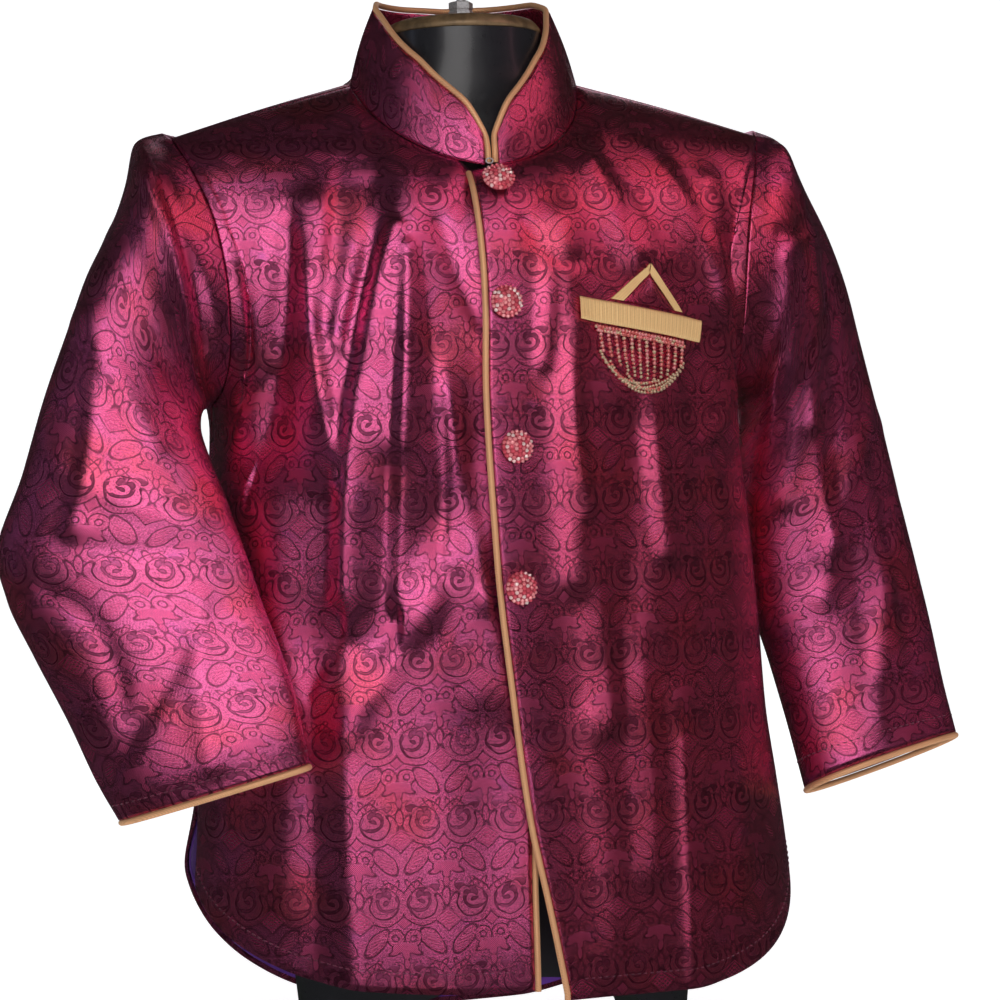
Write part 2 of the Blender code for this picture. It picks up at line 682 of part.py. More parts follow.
class PanelMap:
    """Finds the panel's surface at a given x and z."""

    def __init__(self, face, side):
        self.surface, self.flip = panel_surface(face, side), side == RIGHT

    def at(self, x, z, lift):
        """Point lifted off the surface, and its normal; millimetres in, metres out."""
        u, v, step = 0.3, 0.6, 0.004
        for _ in range(12):
            here = self.surface(u, v)
            du = (self.surface(u + step, v) - here) / step
            dv = (self.surface(u, v + step) - here) / step
            miss_x, miss_z = x * MM - here.x, z * MM - here.z
            spread_out = du.x * dv.z - dv.x * du.z
            u += (miss_x * dv.z - dv.x * miss_z) / spread_out
            v += (du.x * miss_z - miss_x * du.z) / spread_out
            u, v = min(max(u, 0.005), 0.99), min(max(v, 0.005), 0.99)
        normal = surface_normal(self.surface, u, v, self.flip)
        return self.surface(u, v) + normal * (lift * MM), normal


def build_buttons(collection, material, panel):
    """Domed buttons: one turned profile, four places."""
    profile = [(0.0, 0.0), (2.6, 0.0), (2.6, 1.6), (6.4, 1.9), (BUTTON_RADIUS, 3.2),
               (7.3, 4.8), (5.0, 6.3), (2.4, BUTTON_HEIGHT - 0.1), (0.0, BUTTON_HEIGHT)]
    data = bpy.data.meshes.new("button_profile")
    shape = bmesh.new()
    verts = [shape.verts.new((r * MM, 0.0, z * MM)) for r, z in reversed(profile)]
    for first, second in zip(verts, verts[1:]):
        shape.edges.new((first, second))
    shape.to_mesh(data)
    shape.free()
    for i, row in enumerate(BUTTONS):
        point, normal = panel.at(row["x"], row["z"], LAY_GAP + 0.1)
        thing = link(collection, f"button_{i + 1}", data.copy(), material)
        thing.location = point
        thing.rotation_mode = "QUATERNION"
        thing.rotation_quaternion = normal.to_track_quat("Z", "Y")
        turn = thing.modifiers.new("turn", "SCREW")
        turn.axis = "Z"
        turn.steps = turn.render_steps = 12
        turn.use_merge_vertices = True
        turn.merge_threshold = 0.00002
        turn.use_normal_calculate = False


def plate_on_panel(collection, name, panel, corners, cells, lift, thick, material):
    """A flat patch that follows the panel: quads between four named corners."""
    a, b, c, d = [Vector((row["x"], row["z"])) for row in corners]

    def surface(u, v):
        low, high = a.lerp(b, u), d.lerp(c, u)
        spot = low.lerp(high, v)
        return panel.at(spot.x, spot.y, lift + thick)[0]

    data = grid_mesh(name, surface, spread(0.0, 1.0, cells), [0.0, 1.0])
    return add_wall(link(collection, name, data, material), thick)


def build_pocket(collection, gold, brocade, beads, panel):
    plate_on_panel(collection, "pocket_welt", panel, WELT, 8, PATCH_GAP, 1.6, gold)
    left, right, tip = [Vector((row["x"], row["z"])) for row in SQUARE]
    middle = (left + right + tip) / 3.0
    shrink = 1.0 - SQUARE_BORDER / 11.0
    inner = [middle + (corner - middle) * shrink for corner in (left, right, tip)]
    floor_left, floor_right = left.lerp(right, 0.17), left.lerp(right, 0.89)
    inner_tip = inner[2] + Vector((0.0, 0.6))
    border = {
        "pocket_square_border_left": (left, floor_left, inner_tip, tip),
        "pocket_square_border_right": (floor_right, right, tip, inner_tip),
    }
    seam = Vector((0.25, 0.0))
    for name, (p, q, r, s) in border.items():
        shift = -seam if name.endswith("left") else seam
        corners = [{"x": (c + shift).x, "z": (c + shift).y + 0.4} for c in (p, q, r, s)]
        plate_on_panel(collection, name, panel, corners, 4, PATCH_GAP, 1.2, gold)
    gap = 0.45
    low_left, low_right = floor_left + Vector((gap, gap)), floor_right + Vector((-gap, gap))
    near_tip = inner_tip - Vector((0.0, 1.4))
    corners = [{"x": c.x, "z": c.y} for c in (
        low_left, low_right, near_tip + Vector((0.25, 0.0)), near_tip - Vector((0.25, 0.0)))]
    plate_on_panel(collection, "pocket_square", panel, corners, 4, PATCH_GAP, 0.9, brocade)
    build_fringe(collection, beads, panel)


def build_fringe(collection, material, panel):
    """Bead strings with their roots in a narrow strip under the welt."""
    strip = plate_on_panel(collection, "bead_fringe", panel, FRINGE_HEAD, 6, PATCH_GAP, 1.5,
                           material)
    a, b = [Vector((row["x"], row["z"])) for row in FRINGE_HEAD[:2]]
    count = len(FRINGE_DROPS)
    cutters = []
    for i, drop in enumerate(FRINGE_DROPS):
        root = a.lerp(b, (i + 0.5) / count)
        lean = 7.0 * (0.5 - (i + 0.5) / count)
        line = []
        for share in (-0.045, 0.3, 0.65, 1.0):
            x, z = root.x + lean * max(share, 0.0) ** 2, root.y - drop * share
            line.append(panel.at(x, z, PATCH_GAP + 0.9)[0])
        cord = tube(collection, f"string_{i}", line, 0.75, material, resolution=0)
        cutters.append(cord)
    fuse(strip, cutters)


def fuse(base, parts):
    """Join parts into the base as one body and remove them."""
    bpy.context.view_layer.update()
    graph = bpy.context.evaluated_depsgraph_get()
    solids = []
    for part in [base, *parts]:
        data = bpy.data.meshes.new_from_object(part.evaluated_get(graph))
        shape = bmesh.new()
        shape.from_mesh(data)
        bmesh.ops.remove_doubles(shape, verts=shape.verts, dist=1e-7)
        bmesh.ops.recalc_face_normals(shape, faces=shape.faces)
        shape.to_mesh(data)
        shape.free()
        solids.append(data)
    base.modifiers.clear()
    base.data = solids[0]
    collection = bpy.data.collections["cutters"]
    for part, data in zip(parts, solids[1:]):
        name = part.name
        matrix = part.matrix_world.copy()
        bpy.data.objects.remove(part)
        cutter = bpy.data.objects.new(f"{name}_solid", data)
        cutter.matrix_world = matrix
        cutter.hide_render = True
        cutter.display_type = "WIRE"
        collection.objects.link(cutter)
        union = base.modifiers.new(name, "BOOLEAN")
        union.operation = "UNION"
        union.object = cutter
        union.solver = "EXACT"


# ------------------------------------------------------------ the dress form

def form_surface(turn, up):
    """The form's skin: turn runs once round, up from its base to the neck."""
    ring = up * (len(FORM) - 1)
    rows = [dict(row, ring=i) for i, row in enumerate(FORM)]
    side, front, back, z = [Curve(rows, "ring", name) for name in ("side", "front", "back", "z")]
    angle = 2.0 * math.pi * turn
    power = 2.0 / 2.2
    sine, cosine = math.sin(angle), math.cos(angle)
    x = side(ring) * math.copysign(abs(cosine) ** power, cosine)
    depth = back(ring) if sine > 0.0 else front(ring)
    y = depth * math.copysign(abs(sine) ** power, sine)
    return Vector((x, y, z(ring))) * MM


def build_form(collection, plastic, bronze, steel):
    data = grid_mesh("dress_form", form_surface, spread(0.0, 1.0, 28),
                     spread(0.0, 1.0, len(FORM) - 1), closed=True)
    shape = bmesh.new()
    shape.from_mesh(data)
    bmesh.ops.holes_fill(shape, edges=[e for e in shape.edges if e.is_boundary], sides=0)
    bmesh.ops.recalc_face_normals(shape, faces=shape.faces)
    shape.to_mesh(data)
    shape.free()
    form = link(collection, "dress_form", data, plastic)
    bpy.ops.mesh.primitive_cylinder_add(
        vertices=40, radius=1.0, depth=0.3, rotation=(math.pi / 2.0, 0.0, 0.0))
    arch = bpy.context.object
    arch.name = "arch_cutter"
    arch.scale = (ARCH_HALF_WIDTH * MM, ARCH_HEIGHT * MM, 1.0)
    for owner in list(arch.users_collection):
        owner.objects.unlink(arch)
    bpy.data.collections["cutters"].objects.link(arch)
    arch.hide_render = True
    arch.display_type = "WIRE"
    cut = form.modifiers.new("arch", "BOOLEAN")
    cut.operation = "DIFFERENCE"
    cut.object = arch
    cut.solver = "EXACT"

    neck_top = FORM[-1]["z"]
    turned(collection, "neck_cap", bronze, 32, [
        (0.0, neck_top + 0.3), (NECK_RADIUS + 0.4, neck_top + 0.3),
        (NECK_RADIUS + 0.6, neck_top + 2.4), (36.0, CAP_TOP), (0.0, CAP_TOP)])
    turned(collection, "hanging_bolt_nut", steel, 6, [
        (0.0, CAP_TOP + 0.3), (6.4, CAP_TOP + 0.3), (6.4, CAP_TOP + 5.6), (0.0, CAP_TOP + 5.6)])
    build_eye(collection, steel)


def turned(collection, name, material, steps, profile):
    """A turned solid from its radius and height profile, bottom to top."""
    data = bpy.data.meshes.new(name)
    shape = bmesh.new()
    verts = [shape.verts.new((r * MM, 0.0, z * MM)) for r, z in reversed(profile)]
    for first, second in zip(verts, verts[1:]):
        shape.edges.new((first, second))
    shape.to_mesh(data)
    shape.free()
    thing = link(collection, name, data, material)
    turn = thing.modifiers.new("turn", "SCREW")
    turn.axis = "Z"
    turn.steps = turn.render_steps = steps
    turn.use_merge_vertices = True
    turn.merge_threshold = 0.00002
    turn.use_normal_calculate = False
    return thing


def build_eye(collection, steel):
    """The bolt's shank and hanging eye, as one bent rod."""
    foot, radius, wire = CAP_TOP + 5.9, 7.5, 2.1
    centre = foot + 6.0 + radius
    line = [Vector((0.0, 0.0, foot)) * MM, Vector((0.0, 0.0, foot + 3.0)) * MM]
    for i in range(19):
        angle = math.radians(-90.0 + 17.5 * i)
        reach = min(i / 2.0, 1.0)
        x = radius * math.cos(angle)
        z = centre + radius * math.sin(angle) - (1.0 - reach) * 0.6
        line.append(Vector((x, 0.0, z)) * MM)
    tube(collection, "hanging_bolt_eye", line, wire, steel, resolution=1)


def main():
    for thing in list(bpy.data.objects):
        bpy.data.objects.remove(thing)
    coat = bpy.data.collections.new("sherwani_coat_on_dress_form")
    cutters = bpy.data.collections.new("cutters")
    bpy.context.scene.collection.children.link(coat)
    bpy.context.scene.collection.children.link(cutters)

    brocade = make_material("wine_brocade", (0.27, 0.035, 0.115), 0.42, 0.25)
    satin = make_material("violet_lining", (0.10, 0.025, 0.24), 0.38, 0.0)
    gold = make_material("gold_cord", (0.66, 0.42, 0.16), 0.5, 0.3)
    strip = make_material("gold_strip", (0.74, 0.52, 0.21), 0.45, 0.3)
    crystal = make_material("pink_crystal", (0.75, 0.20, 0.26), 0.25, 0.2)
    beads = make_material("pink_beads", (0.72, 0.22, 0.27), 0.25, 0.3)
    plastic = make_material("black_plastic", (0.016, 0.015, 0.018), 0.35, 0.0)
    bronze = make_material("bronze_rim", (0.13, 0.07, 0.025), 0.45, 0.2)
    steel = make_material("bright_steel", (0.7, 0.71, 0.73), 0.25, 1.0)

    build_front(coat, "front_right", RIGHT, brocade)
    build_front(coat, "front_left", LEFT, brocade)
    build_back(coat, brocade)
    build_lining(coat, satin)
    build_sleeve(coat, "sleeve_right", RIGHT, brocade)
    build_sleeve(coat, "sleeve_left", LEFT, brocade)
    build_collar(coat, brocade)
    build_pipings(coat, gold)
    panel = PanelMap("front", LEFT)
    build_buttons(coat, crystal, panel)
    build_pocket(coat, strip, brocade, beads, panel)
    build_form(coat, plastic, bronze, steel)


main()
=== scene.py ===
"""Sherwani coat on a dress form: cloth, trim, form and studio.

Every size is in millimetres unless its name says otherwise.  The coat's own
front faces -Y, its left side is +X, and the form stands on the floor at zero.
"""

import math

import bmesh
import bpy
import numpy as np
from bpy.props import FloatProperty, FloatVectorProperty, IntProperty, PointerProperty
from mathutils import Matrix, Vector


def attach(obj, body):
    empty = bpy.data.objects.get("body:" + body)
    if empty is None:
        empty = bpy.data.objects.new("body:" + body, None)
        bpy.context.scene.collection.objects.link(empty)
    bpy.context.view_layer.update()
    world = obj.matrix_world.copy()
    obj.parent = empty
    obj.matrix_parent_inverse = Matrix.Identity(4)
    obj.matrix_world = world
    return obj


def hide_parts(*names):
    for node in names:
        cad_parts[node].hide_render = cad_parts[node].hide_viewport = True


bl_info = {
    "name": "Sherwani Coat On A Dress Form",
    "version": (1, 0, 0),
    "blender": (4, 5, 0),
    "location": "View3D > Sidebar > Sherwani",
    "description": "Brocade coat with piping, crystal buttons and a beaded pocket",
    "category": "Object",
}

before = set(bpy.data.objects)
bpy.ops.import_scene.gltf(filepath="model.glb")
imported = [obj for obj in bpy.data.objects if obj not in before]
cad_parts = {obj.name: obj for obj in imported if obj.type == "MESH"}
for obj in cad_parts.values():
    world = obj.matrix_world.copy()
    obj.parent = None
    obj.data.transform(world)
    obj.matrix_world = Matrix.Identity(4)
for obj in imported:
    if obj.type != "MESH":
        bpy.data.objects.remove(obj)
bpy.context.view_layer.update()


def colour(name, description, value):
    return FloatVectorProperty(name=name, description=description, default=value,
                               subtype="COLOR", size=3, min=0.0, max=1.0)


def length(name, description, value, low=0.0, high=1.0):
    return FloatProperty(name=name, description=description, default=value, min=low, max=high,
                         unit="LENGTH", subtype="DISTANCE", precision=4)


class BrocadeSettings(bpy.types.PropertyGroup):
    """Cloth of the coat and of its lining."""
    wall: length("Cloth Wall", "Thickness of the lined brocade", 0.0012, 0.0005, 0.003)
    fineness: FloatProperty(
        name="Fineness", description="Share of the full number of cells in each sheet",
        default=1.0, min=0.2, max=1.5, subtype="FACTOR")
    weft_rose: colour("Rose Weft", "Weft where it shows pink", (0.84, 0.15, 0.39))
    # also the colour of the painted red sheen on the coat's left half
    weft_red: colour("Red Weft", "Weft where it shows red", (0.88, 0.11, 0.19))
    weft_violet: colour("Violet Weft", "Weft seen along its slope", (0.36, 0.11, 0.50))
    weft_flash: colour("Bright Points", "Small bright points of the figure", (1.0, 0.12, 0.34))
    warp_dark: colour("Dark Warp", "Warp between the figures", (0.12, 0.022, 0.05))
    lining: colour("Lining", "Satin inside the skirt", (0.14, 0.035, 0.33))
    thread: colour("Thread", "Top-stitching along the hems", (0.20, 0.02, 0.07))


class TrimSettings(bpy.types.PropertyGroup):
    """Piping, pocket strips, crystals and beads."""
    cord_radius: length("Piping Radius", "Half the thickness of the gold piping",
                        0.0015, 0.0005, 0.004)
    gold: colour("Piping Gold", "Satin of the piping", (0.98, 0.53, 0.27))
    strip: colour("Strip Gold", "Ribbed strip of the pocket", (1.0, 0.68, 0.31))
    crystal: colour("Crystal", "Most stones of a button", (1.0, 0.40, 0.42))
    # the palest stones are painted highlights that stand for glints
    crystal_pale: colour("Pale Crystal", "Palest stones of a button", (1.0, 0.88, 0.84))
    # also darkened to half for the painted shade on the dome between the stones
    crystal_deep: colour("Deep Crystal", "Darkest stones of a button", (0.76, 0.11, 0.16))
    bead: colour("Bead", "Upper beads of the fringe", (0.85, 0.20, 0.19))
    bead_pale: colour("Pale Bead", "Lower beads of the fringe", (0.80, 0.62, 0.42))


class FormSettings(bpy.types.PropertyGroup):
    """Dress form that the coat hangs on."""
    plastic: colour("Plastic", "Moulded black body", (0.016, 0.016, 0.020))
    rim: colour("Neck Rim", "Bronzed band round the neck", (0.27, 0.18, 0.095))
    around: IntProperty(name="Around", description="Cells round the form", default=112,
                        min=24, max=256)


class StudioSettings(bpy.types.PropertyGroup):
    """Camera, lights and floor."""
    distance: length("Camera Distance", "From the coat's middle to the lens", 1.4, 0.5, 5.0)
    height: length("Camera Height", "Lens above the floor", 0.268, 0.0, 2.0)
    turn: FloatProperty(name="Turn", description="Camera's turn towards the coat's right side",
                        default=math.radians(13.0), subtype="ANGLE", unit="ROTATION")
    roll: FloatProperty(name="Roll", description="Camera's tilt about its own axis",
                        default=math.radians(-2.0), subtype="ANGLE", unit="ROTATION")
    lens: FloatProperty(name="Lens", description="Focal length in millimetres",
                        default=100.8, min=20.0, max=300.0, unit="CAMERA")
    key: FloatProperty(name="Key", description="Power of the large front light in watts",
                       default=10.8, min=0.0, max=500.0, unit="POWER")
    floor: colour("Floor", "Plain pale floor and sweep", (0.86, 0.86, 0.87))
    glow: FloatProperty(name="Sweep Glow", description="How brightly the sweep is lit by itself",
                        default=0.95, min=0.0, max=2.0)


MM = 0.001
RIGHT, LEFT = -1, 1     # the wearer's sides


# ------------------------------------------------------- the coat's own shape

# The columns of the tables that several parts share.
FOLD = "x0 z0 x1 z1 x2 z2 width height"
PLEAT = "x0 z0 x1 z1 x2 z2 low0 low1 high0 high1 height"
RING = "out_x out_y out_z in_x in_y in_z front back tilt"


def table(columns, *rows):
    """Rows of numbers as one array under each named column."""
    return dict(zip(columns.split(), np.array(rows, float).T))


def eased(t, start, leave, end, arrive):
    """A cubic from start to end, with its slopes at both."""
    return ((2 * t ** 3 - 3 * t ** 2 + 1) * start + (t ** 3 - 2 * t ** 2 + t) * leave
            + (3 * t ** 2 - 2 * t ** 3) * end + (t ** 3 - t ** 2) * arrive)


def bent(t, start, middle, end):
    """A parabola through three values, at t of 0, 0.5 and 1."""
    return start * (1 - t) * (1 - 2 * t) + 4 * middle * t * (1 - t) + end * t * (2 * t - 1)


class Curve:
    """Smooth line through a table's points that never overshoots them."""

    def __init__(self, xs, ys):
        self.xs, self.ys = xs, ys
        self.steps = np.diff(xs)
        rates = np.diff(ys) / self.steps
        same_way = rates[:-1] * rates[1:] > 0.0
        total = np.where(same_way, rates[:-1] + rates[1:], 1.0)
        inner = np.where(same_way, 2.0 * rates[:-1] * rates[1:] / total, 0.0)
        self.slopes = np.concatenate([rates[:1], inner, rates[-1:]])

    def __call__(self, x):
        x = np.clip(x, self.xs[0], self.xs[-1])
        i = np.clip(np.searchsorted(self.xs, x) - 1, 0, len(self.steps) - 1)
        step = self.steps[i]
        t = (x - self.xs[i]) / step
        return eased(t, self.ys[i], step * self.slopes[i], self.ys[i + 1],
                     step * self.slopes[i + 1])


def row_curves(rows):
    """Curves of a table's columns over its row numbers, and the last row's number."""
    last = len(rows["front"]) - 1
    places = np.arange(last + 1, dtype=float)
    return {name: Curve(places, values) for name, values in rows.items()}, last


def smooth_step(low, high, value):
    """0 below low, 1 above high, eased between."""
    t = np.clip((value - low) / (high - low), 0.0, 1.0)
    return t * t * (3.0 - 2.0 * t)


def unit(vectors):
    return vectors / np.linalg.norm(vectors, axis=-1, keepdims=True)


def dots(a, b):
    return np.sum(a * b, axis=-1, keepdims=True)


# Half widths and depths of the coat's body, from hem to underarm.
BODY = table(
    "z side_front side_back front back",
    (0, 149, 154, 87.5, 87), (40, 148.5, 153.5, 88, 86), (90, 147.5, 151.5, 87.5, 85.5),
    (126, 145.5, 145.5, 87, 85), (160, 142.5, 142.5, 86.5, 84.5), (210, 140, 140, 86, 84),
    (260, 136.5, 136.5, 85.5, 83.5), (318, 131.8, 131.8, 84.5, 83), (360, 131, 131, 83, 82))

# A front's top edge from centre front over the shoulder to the side seam.
FRONT_TOP = table(
    "share x y z phi base out lean",
    (0, -15, -57, 426.5, 0, 345, 0, 48), (0.06, 0, -57, 428.5, 4, 345, 0, 50),
    (0.13, 21, -52, 433.5, 11.5, 345, -0.05, 52), (0.2, 39, -40, 444, 18.5, 345, -0.1, 56),
    (0.27, 52, -21, 459, 24, 345, -0.1, 60), (0.32, 58, -1, 475, 27.7, 345, -0.08, 66),
    (0.47, 103, -8, 462, 42, 340, 0.05, 66), (0.62, 148, -12, 448, 56.5, 325, 0.3, 66),
    (0.7, 140, -33, 428, 61.3, 315, 0.6, 45), (0.78, 132, -46, 401, 65.7, 305, 0.9, 20),
    (0.85, 128, -50, 372, 70, 295, 0.9, 5), (0.91, 127, -44, 345, 74.7, 285, 0.7, -5),
    (0.96, 129, -27, 326.5, 81.4, 275, 0.3, 0), (1, 132, 0, 318, 90, 265, 0, 0))

# The same for half of the back, from centre back.
BACK_TOP = table(
    "share x y z phi base out lean",
    (0, 0, 50, 490.5, 0, 360, 0, 28), (0.1, 22, 47, 489.5, 9, 360, -0.05, 30),
    (0.2, 41, 35, 487.5, 17, 360, -0.1, 40), (0.28, 52.5, 18, 483.5, 22, 360, -0.1, 72),
    (0.34, 58, -1, 475, 25, 360, -0.08, 114), (0.48, 103, -8, 462, 40, 358, 0.05, 114),
    (0.62, 148, -12, 448, 55, 350, 0.3, 114), (0.66, 151, 4, 453, 57.5, 345, 0.4, 85),
    (0.72, 147, 28, 438.5, 61, 335, 0.6, 45), (0.79, 141, 46, 409, 65, 320, 0.9, 20),
    (0.85, 136, 52, 377, 69.5, 305, 0.9, 5), (0.9, 134, 44, 348, 75, 290, 0.7, -3),
    (0.95, 133, 26, 326.5, 82, 275, 0.3, 0), (1, 132, 0, 318, 90, 265, 0, 0))

FRONT_NECK, BACK_NECK, SHOULDER_TIP = 0.32, 0.34, 0.62
CENTRE_FRONT = 0.06
SKIRT_SHARE = 0.66
SEAM_GAP = 0.4
LAP_PUSH, LAP_LIFT = 3.4, 0.8   # the under front is pushed in, the upper one stands off
LAP_FADE, NECK_LAP_FADE = (14.0, 46.0), (9.0, 17.0)     # where the push ends, and at the neck
SEAM_CALM = (0.10, 0.06)        # share of a panel's height and width where its folds die out
RING_POWER = 2.25       # how square the body's rings are: 2 is an ellipse

HEM = {
    ("front", RIGHT): table(
        "phi z",
        (0, 37.5), (12, 38.5), (25, 41.5), (34, 44.5), (43, 49), (52, 55.5), (61, 63), (70, 71.5),
        (78, 80.5), (85, 92), (88.5, 105), (90, 126)),
    ("front", LEFT): table(
        "phi z",
        (0, 33), (12, 32.5), (25, 32), (34, 34), (43, 38), (52, 44), (61, 52.5), (70, 64),
        (78, 77), (85, 92), (88.5, 105), (90, 126)),
    ("back", RIGHT): table(
        "phi z",
        (0, 3), (10, 4), (20, 9.5), (32, 20), (45, 36), (58, 56), (66, 70), (73, 82), (80, 93),
        (86, 106), (90, 126)),
    ("back", LEFT): table(
        "phi z",
        (0, 3), (10, 4), (20, 9.5), (32, 19), (45, 30), (58, 43), (66, 52), (73, 61), (80, 72),
        (86, 90), (90, 126)),
}

FRONT_EDGE = {
    LEFT: table(
        "z x",
        (36, 14.8), (80, 7.5), (117, 1), (174, -4.7), (240, -10), (315, -12), (360, -10),
        (385, -8), (405, -6), (417, -5.2), (427, -10.5)),
    RIGHT: table(
        "z x",
        (36, 1.5), (80, 0.5), (117, -1.5), (174, -5), (240, -8), (315, -8), (360, -8), (400, -8),
        (426, -7)),
}

# Rings of a sleeve from armhole to cuff.
SLEEVE = {
    RIGHT: table(
        RING,
        (150, 2, 452.5, 132, 0, 318, 49, 50, 0), (158, 2, 451, 134, -3, 317.5, 52, 50, 0),
        (165, 1, 447, 137, -7, 316.5, 54, 47, 0), (170, 1, 428, 139.5, -11, 314.5, 51, 42, 0),
        (178, 0, 405, 140.5, -17, 311, 46, 37, 0), (191, -4, 378, 140, -25, 304, 41, 34, 0),
        (200, -8, 350, 138, -38, 292, 36, 30, 0), (211, -10, 318, 134, -50, 276, 32, 27, 0),
        (221.5, -12, 287, 129.5, -57, 259, 29, 25, 0),
        (236.3, -15, 250, 124.3, -62, 241, 26, 23, 0),
        (232.3, -19, 228, 119.6, -66, 223, 25, 22, 0),
        (221, -25, 202, 113.8, -73, 204, 24, 20, 0),
        (206.5, -33, 171, 108.6, -79, 184, 23, 18, 0.03),
        (195, -40, 143, 105.4, -83, 165, 22, 17, 0.06),
        (186, -44, 125, 103.2, -85, 149.5, 19.5, 16, 0.08)),
    LEFT: table(
        RING,
        (150, 2, 452.5, 132, 0, 318, 49, 50, 0), (158, 3, 450, 135, 0, 317, 50, 49, 0),
        (164.3, 2, 445.5, 138.5, 1, 315.5, 50, 46.5, 0),
        (175.5, 1, 423, 140.5, 3, 312, 46, 42.5, 0), (188.5, 0, 396.5, 141, 5, 306, 41, 38, 0),
        (197.5, -1, 370, 140, 7, 297, 37, 35, 0), (203, -3, 344, 139.2, 8, 284, 34, 33, 0),
        (208.5, -5, 318, 139.2, 8, 268, 31, 31, 0.02), (214, -7, 292, 140, 7, 249, 29, 29, 0.05),
        (219.5, -10, 262, 141.4, 5, 227, 27, 27, 0.1),
        (225.5, -14, 229, 143.5, 2, 204, 25, 25, 0.15),
        (231, -18, 197, 149, -2, 180, 24, 24, 0.2), (235, -23, 166, 155, -8, 151, 23, 23, 0.26),
        (238.8, -28, 142, 161, -15, 117, 22, 22, 0.3)),
}

COLLAR = table(
    "phi rise lean",
    (0, 14.5, 2), (5, 22, 3.5), (10, 27.5, 5), (18, 31.5, 7), (30, 35, 9), (45, 38.5, 10.5),
    (67, 38.5, 12), (90, 36, 12.5), (103, 33.5, 12), (135, 29.5, 8), (180, 27, 5))
COLLAR_WALL, COLLAR_END_GAP = 1.8, 3.5
PIPING_GAP = 0.25       # between a cord and the edge that it binds
COLLAR_BOW = 1.1        # how far it bows out between its seam and its top edge

FORM = table(
    "z side front back",
    (0, 96, 57, 60), (30, 99, 63, 66), (60, 101, 66, 71), (110, 101, 67, 74), (160, 97, 68, 70),
    (210, 93, 69, 66), (260, 94, 70, 66), (310, 99, 70, 70), (350, 106, 69, 72),
    (385, 113, 62, 70), (408, 114, 53, 64), (425, 109, 46, 58), (437, 92.5, 40.5, 54),
    (447, 73.6, 38.6, 50), (455, 59.4, 38.3, 46), (463, 50, 39, 43), (471, 45.5, 39.3, 41),
    (481, 41, 38.7, 39.5), (490, 39, 39, 39), (499, 39, 39, 39))
FORM_POWER = 2.2        # how square its rings are: 2 is an ellipse
ARCH_HALF_WIDTH, ARCH_HEIGHT = 74.0, 39.5
CAP_TOP = 508.5

BUTTONS = table("x z", (0.0, 419.5), (-3.0, 360.7), (-1.3, 292.6), (-2.1, 226.4))
WELT = ((33.6, 352.2), (98.6, 341.2), (100.4, 352.0), (33.8, 363.2))
SQUARE = ((50.8, 361.6), (89.2, 355.2), (73.0, 378.8))
FRINGE_HEAD = ((42.0, 347.6), (90.0, 339.5))

# Folds: a ridge (plus) or trough (minus) along a line through three points, in
# the wearer's own side x and z.
FOLDS = {
    ("front", RIGHT): table(
        FOLD,
        (44, 425, 52, 360, 58, 300, 11, 3), (62, 420, 70, 378, 74, 335, 8, -2.2),
        (88, 410, 88, 365, 86, 320, 9, 2.6), (30, 330, 22, 255, 16, 180, 12, 2),
        (78, 300, 81, 180, 82, 45, 9, 1.8), (100, 395, 107, 350, 112, 300, 8, -2.5)),
    ("front", LEFT): table(
        FOLD,
        (50, 430, 66, 405, 78, 380, 8, 2.4), (30, 400, 27, 315, 26, 230, 9, 2.6),
        (60, 300, 56, 245, 50, 190, 12, -2.2), (112, 420, 113, 360, 112, 300, 8, 2.8),
        (94, 330, 97, 280, 100, 230, 9, -2), (81, 170, 81, 100, 81, 35, 9, 1.8)),
    ("back", LEFT): table(
        FOLD,
        (60, 455, 74, 392, 84, 330, 10, 2.2), (0, 440, 0, 345, 0, 250, 10, -2),
        (100, 400, 103, 330, 104, 260, 10, 2.4), (52, 240, 57, 140, 60, 40, 14, 2.6)),
    ("back", RIGHT): table(
        FOLD,
        (66, 450, 73, 398, 78, 345, 9, 2.4), (98, 410, 103, 345, 106, 280, 11, 2.2),
        (40, 300, 44, 180, 46, 60, 13, 2.4)),
}


class SeamLine:
    """A panel's top edge: three smooth runs that meet in two corners."""

    def __init__(self, rows, corners):
        share = rows["share"]
        self.phi, self.base = Curve(share, rows["phi"]), Curve(share, rows["base"])
        self.lean, self.out = Curve(share, rows["lean"]), Curve(share, rows["out"])
        ends = [share[0], *corners, share[-1]]
        self.runs = []
        for low, high in zip(ends, ends[1:]):
            part = (share >= low) & (share <= high)
            self.runs.append((low, [Curve(share[part], rows[axis][part]) for axis in "xyz"]))

    def points(self, share):
        places = np.stack([curve(share) for curve in self.runs[0][1]], axis=-1)
        for low, curves in self.runs[1:]:
            here = np.stack([curve(share) for curve in curves], axis=-1)
            places = np.where((share > low + 1e-9)[..., None], here, places)
        return places


SIDE = {face: Curve(BODY["z"], BODY[f"side_{face}"]) for face in ("front", "back")}
DEPTH = {face: Curve(BODY["z"], BODY[face]) for face in ("front", "back")}
FACING = {"front": -1.0, "back": 1.0}
HEM_LINE = {panel: Curve(rows["phi"], rows["z"]) for panel, rows in HEM.items()}
TOP = {"front": SeamLine(FRONT_TOP, (FRONT_NECK, SHOULDER_TIP)),
       "back": SeamLine(BACK_TOP, (BACK_NECK, SHOULDER_TIP))}
EDGE = {side: Curve(rows["z"], rows["x"]) for side, rows in FRONT_EDGE.items()}


def ring_points(face, phi, z):
    angle = np.radians(phi)
    power = 2.0 / RING_POWER
    x = SIDE[face](z) * np.sign(angle) * np.abs(np.sin(angle)) ** power
    y = FACING[face] * DEPTH[face](z) * np.maximum(np.cos(angle), 0.0) ** power
    return np.stack([x, y, z + 0.0 * phi], axis=-1)


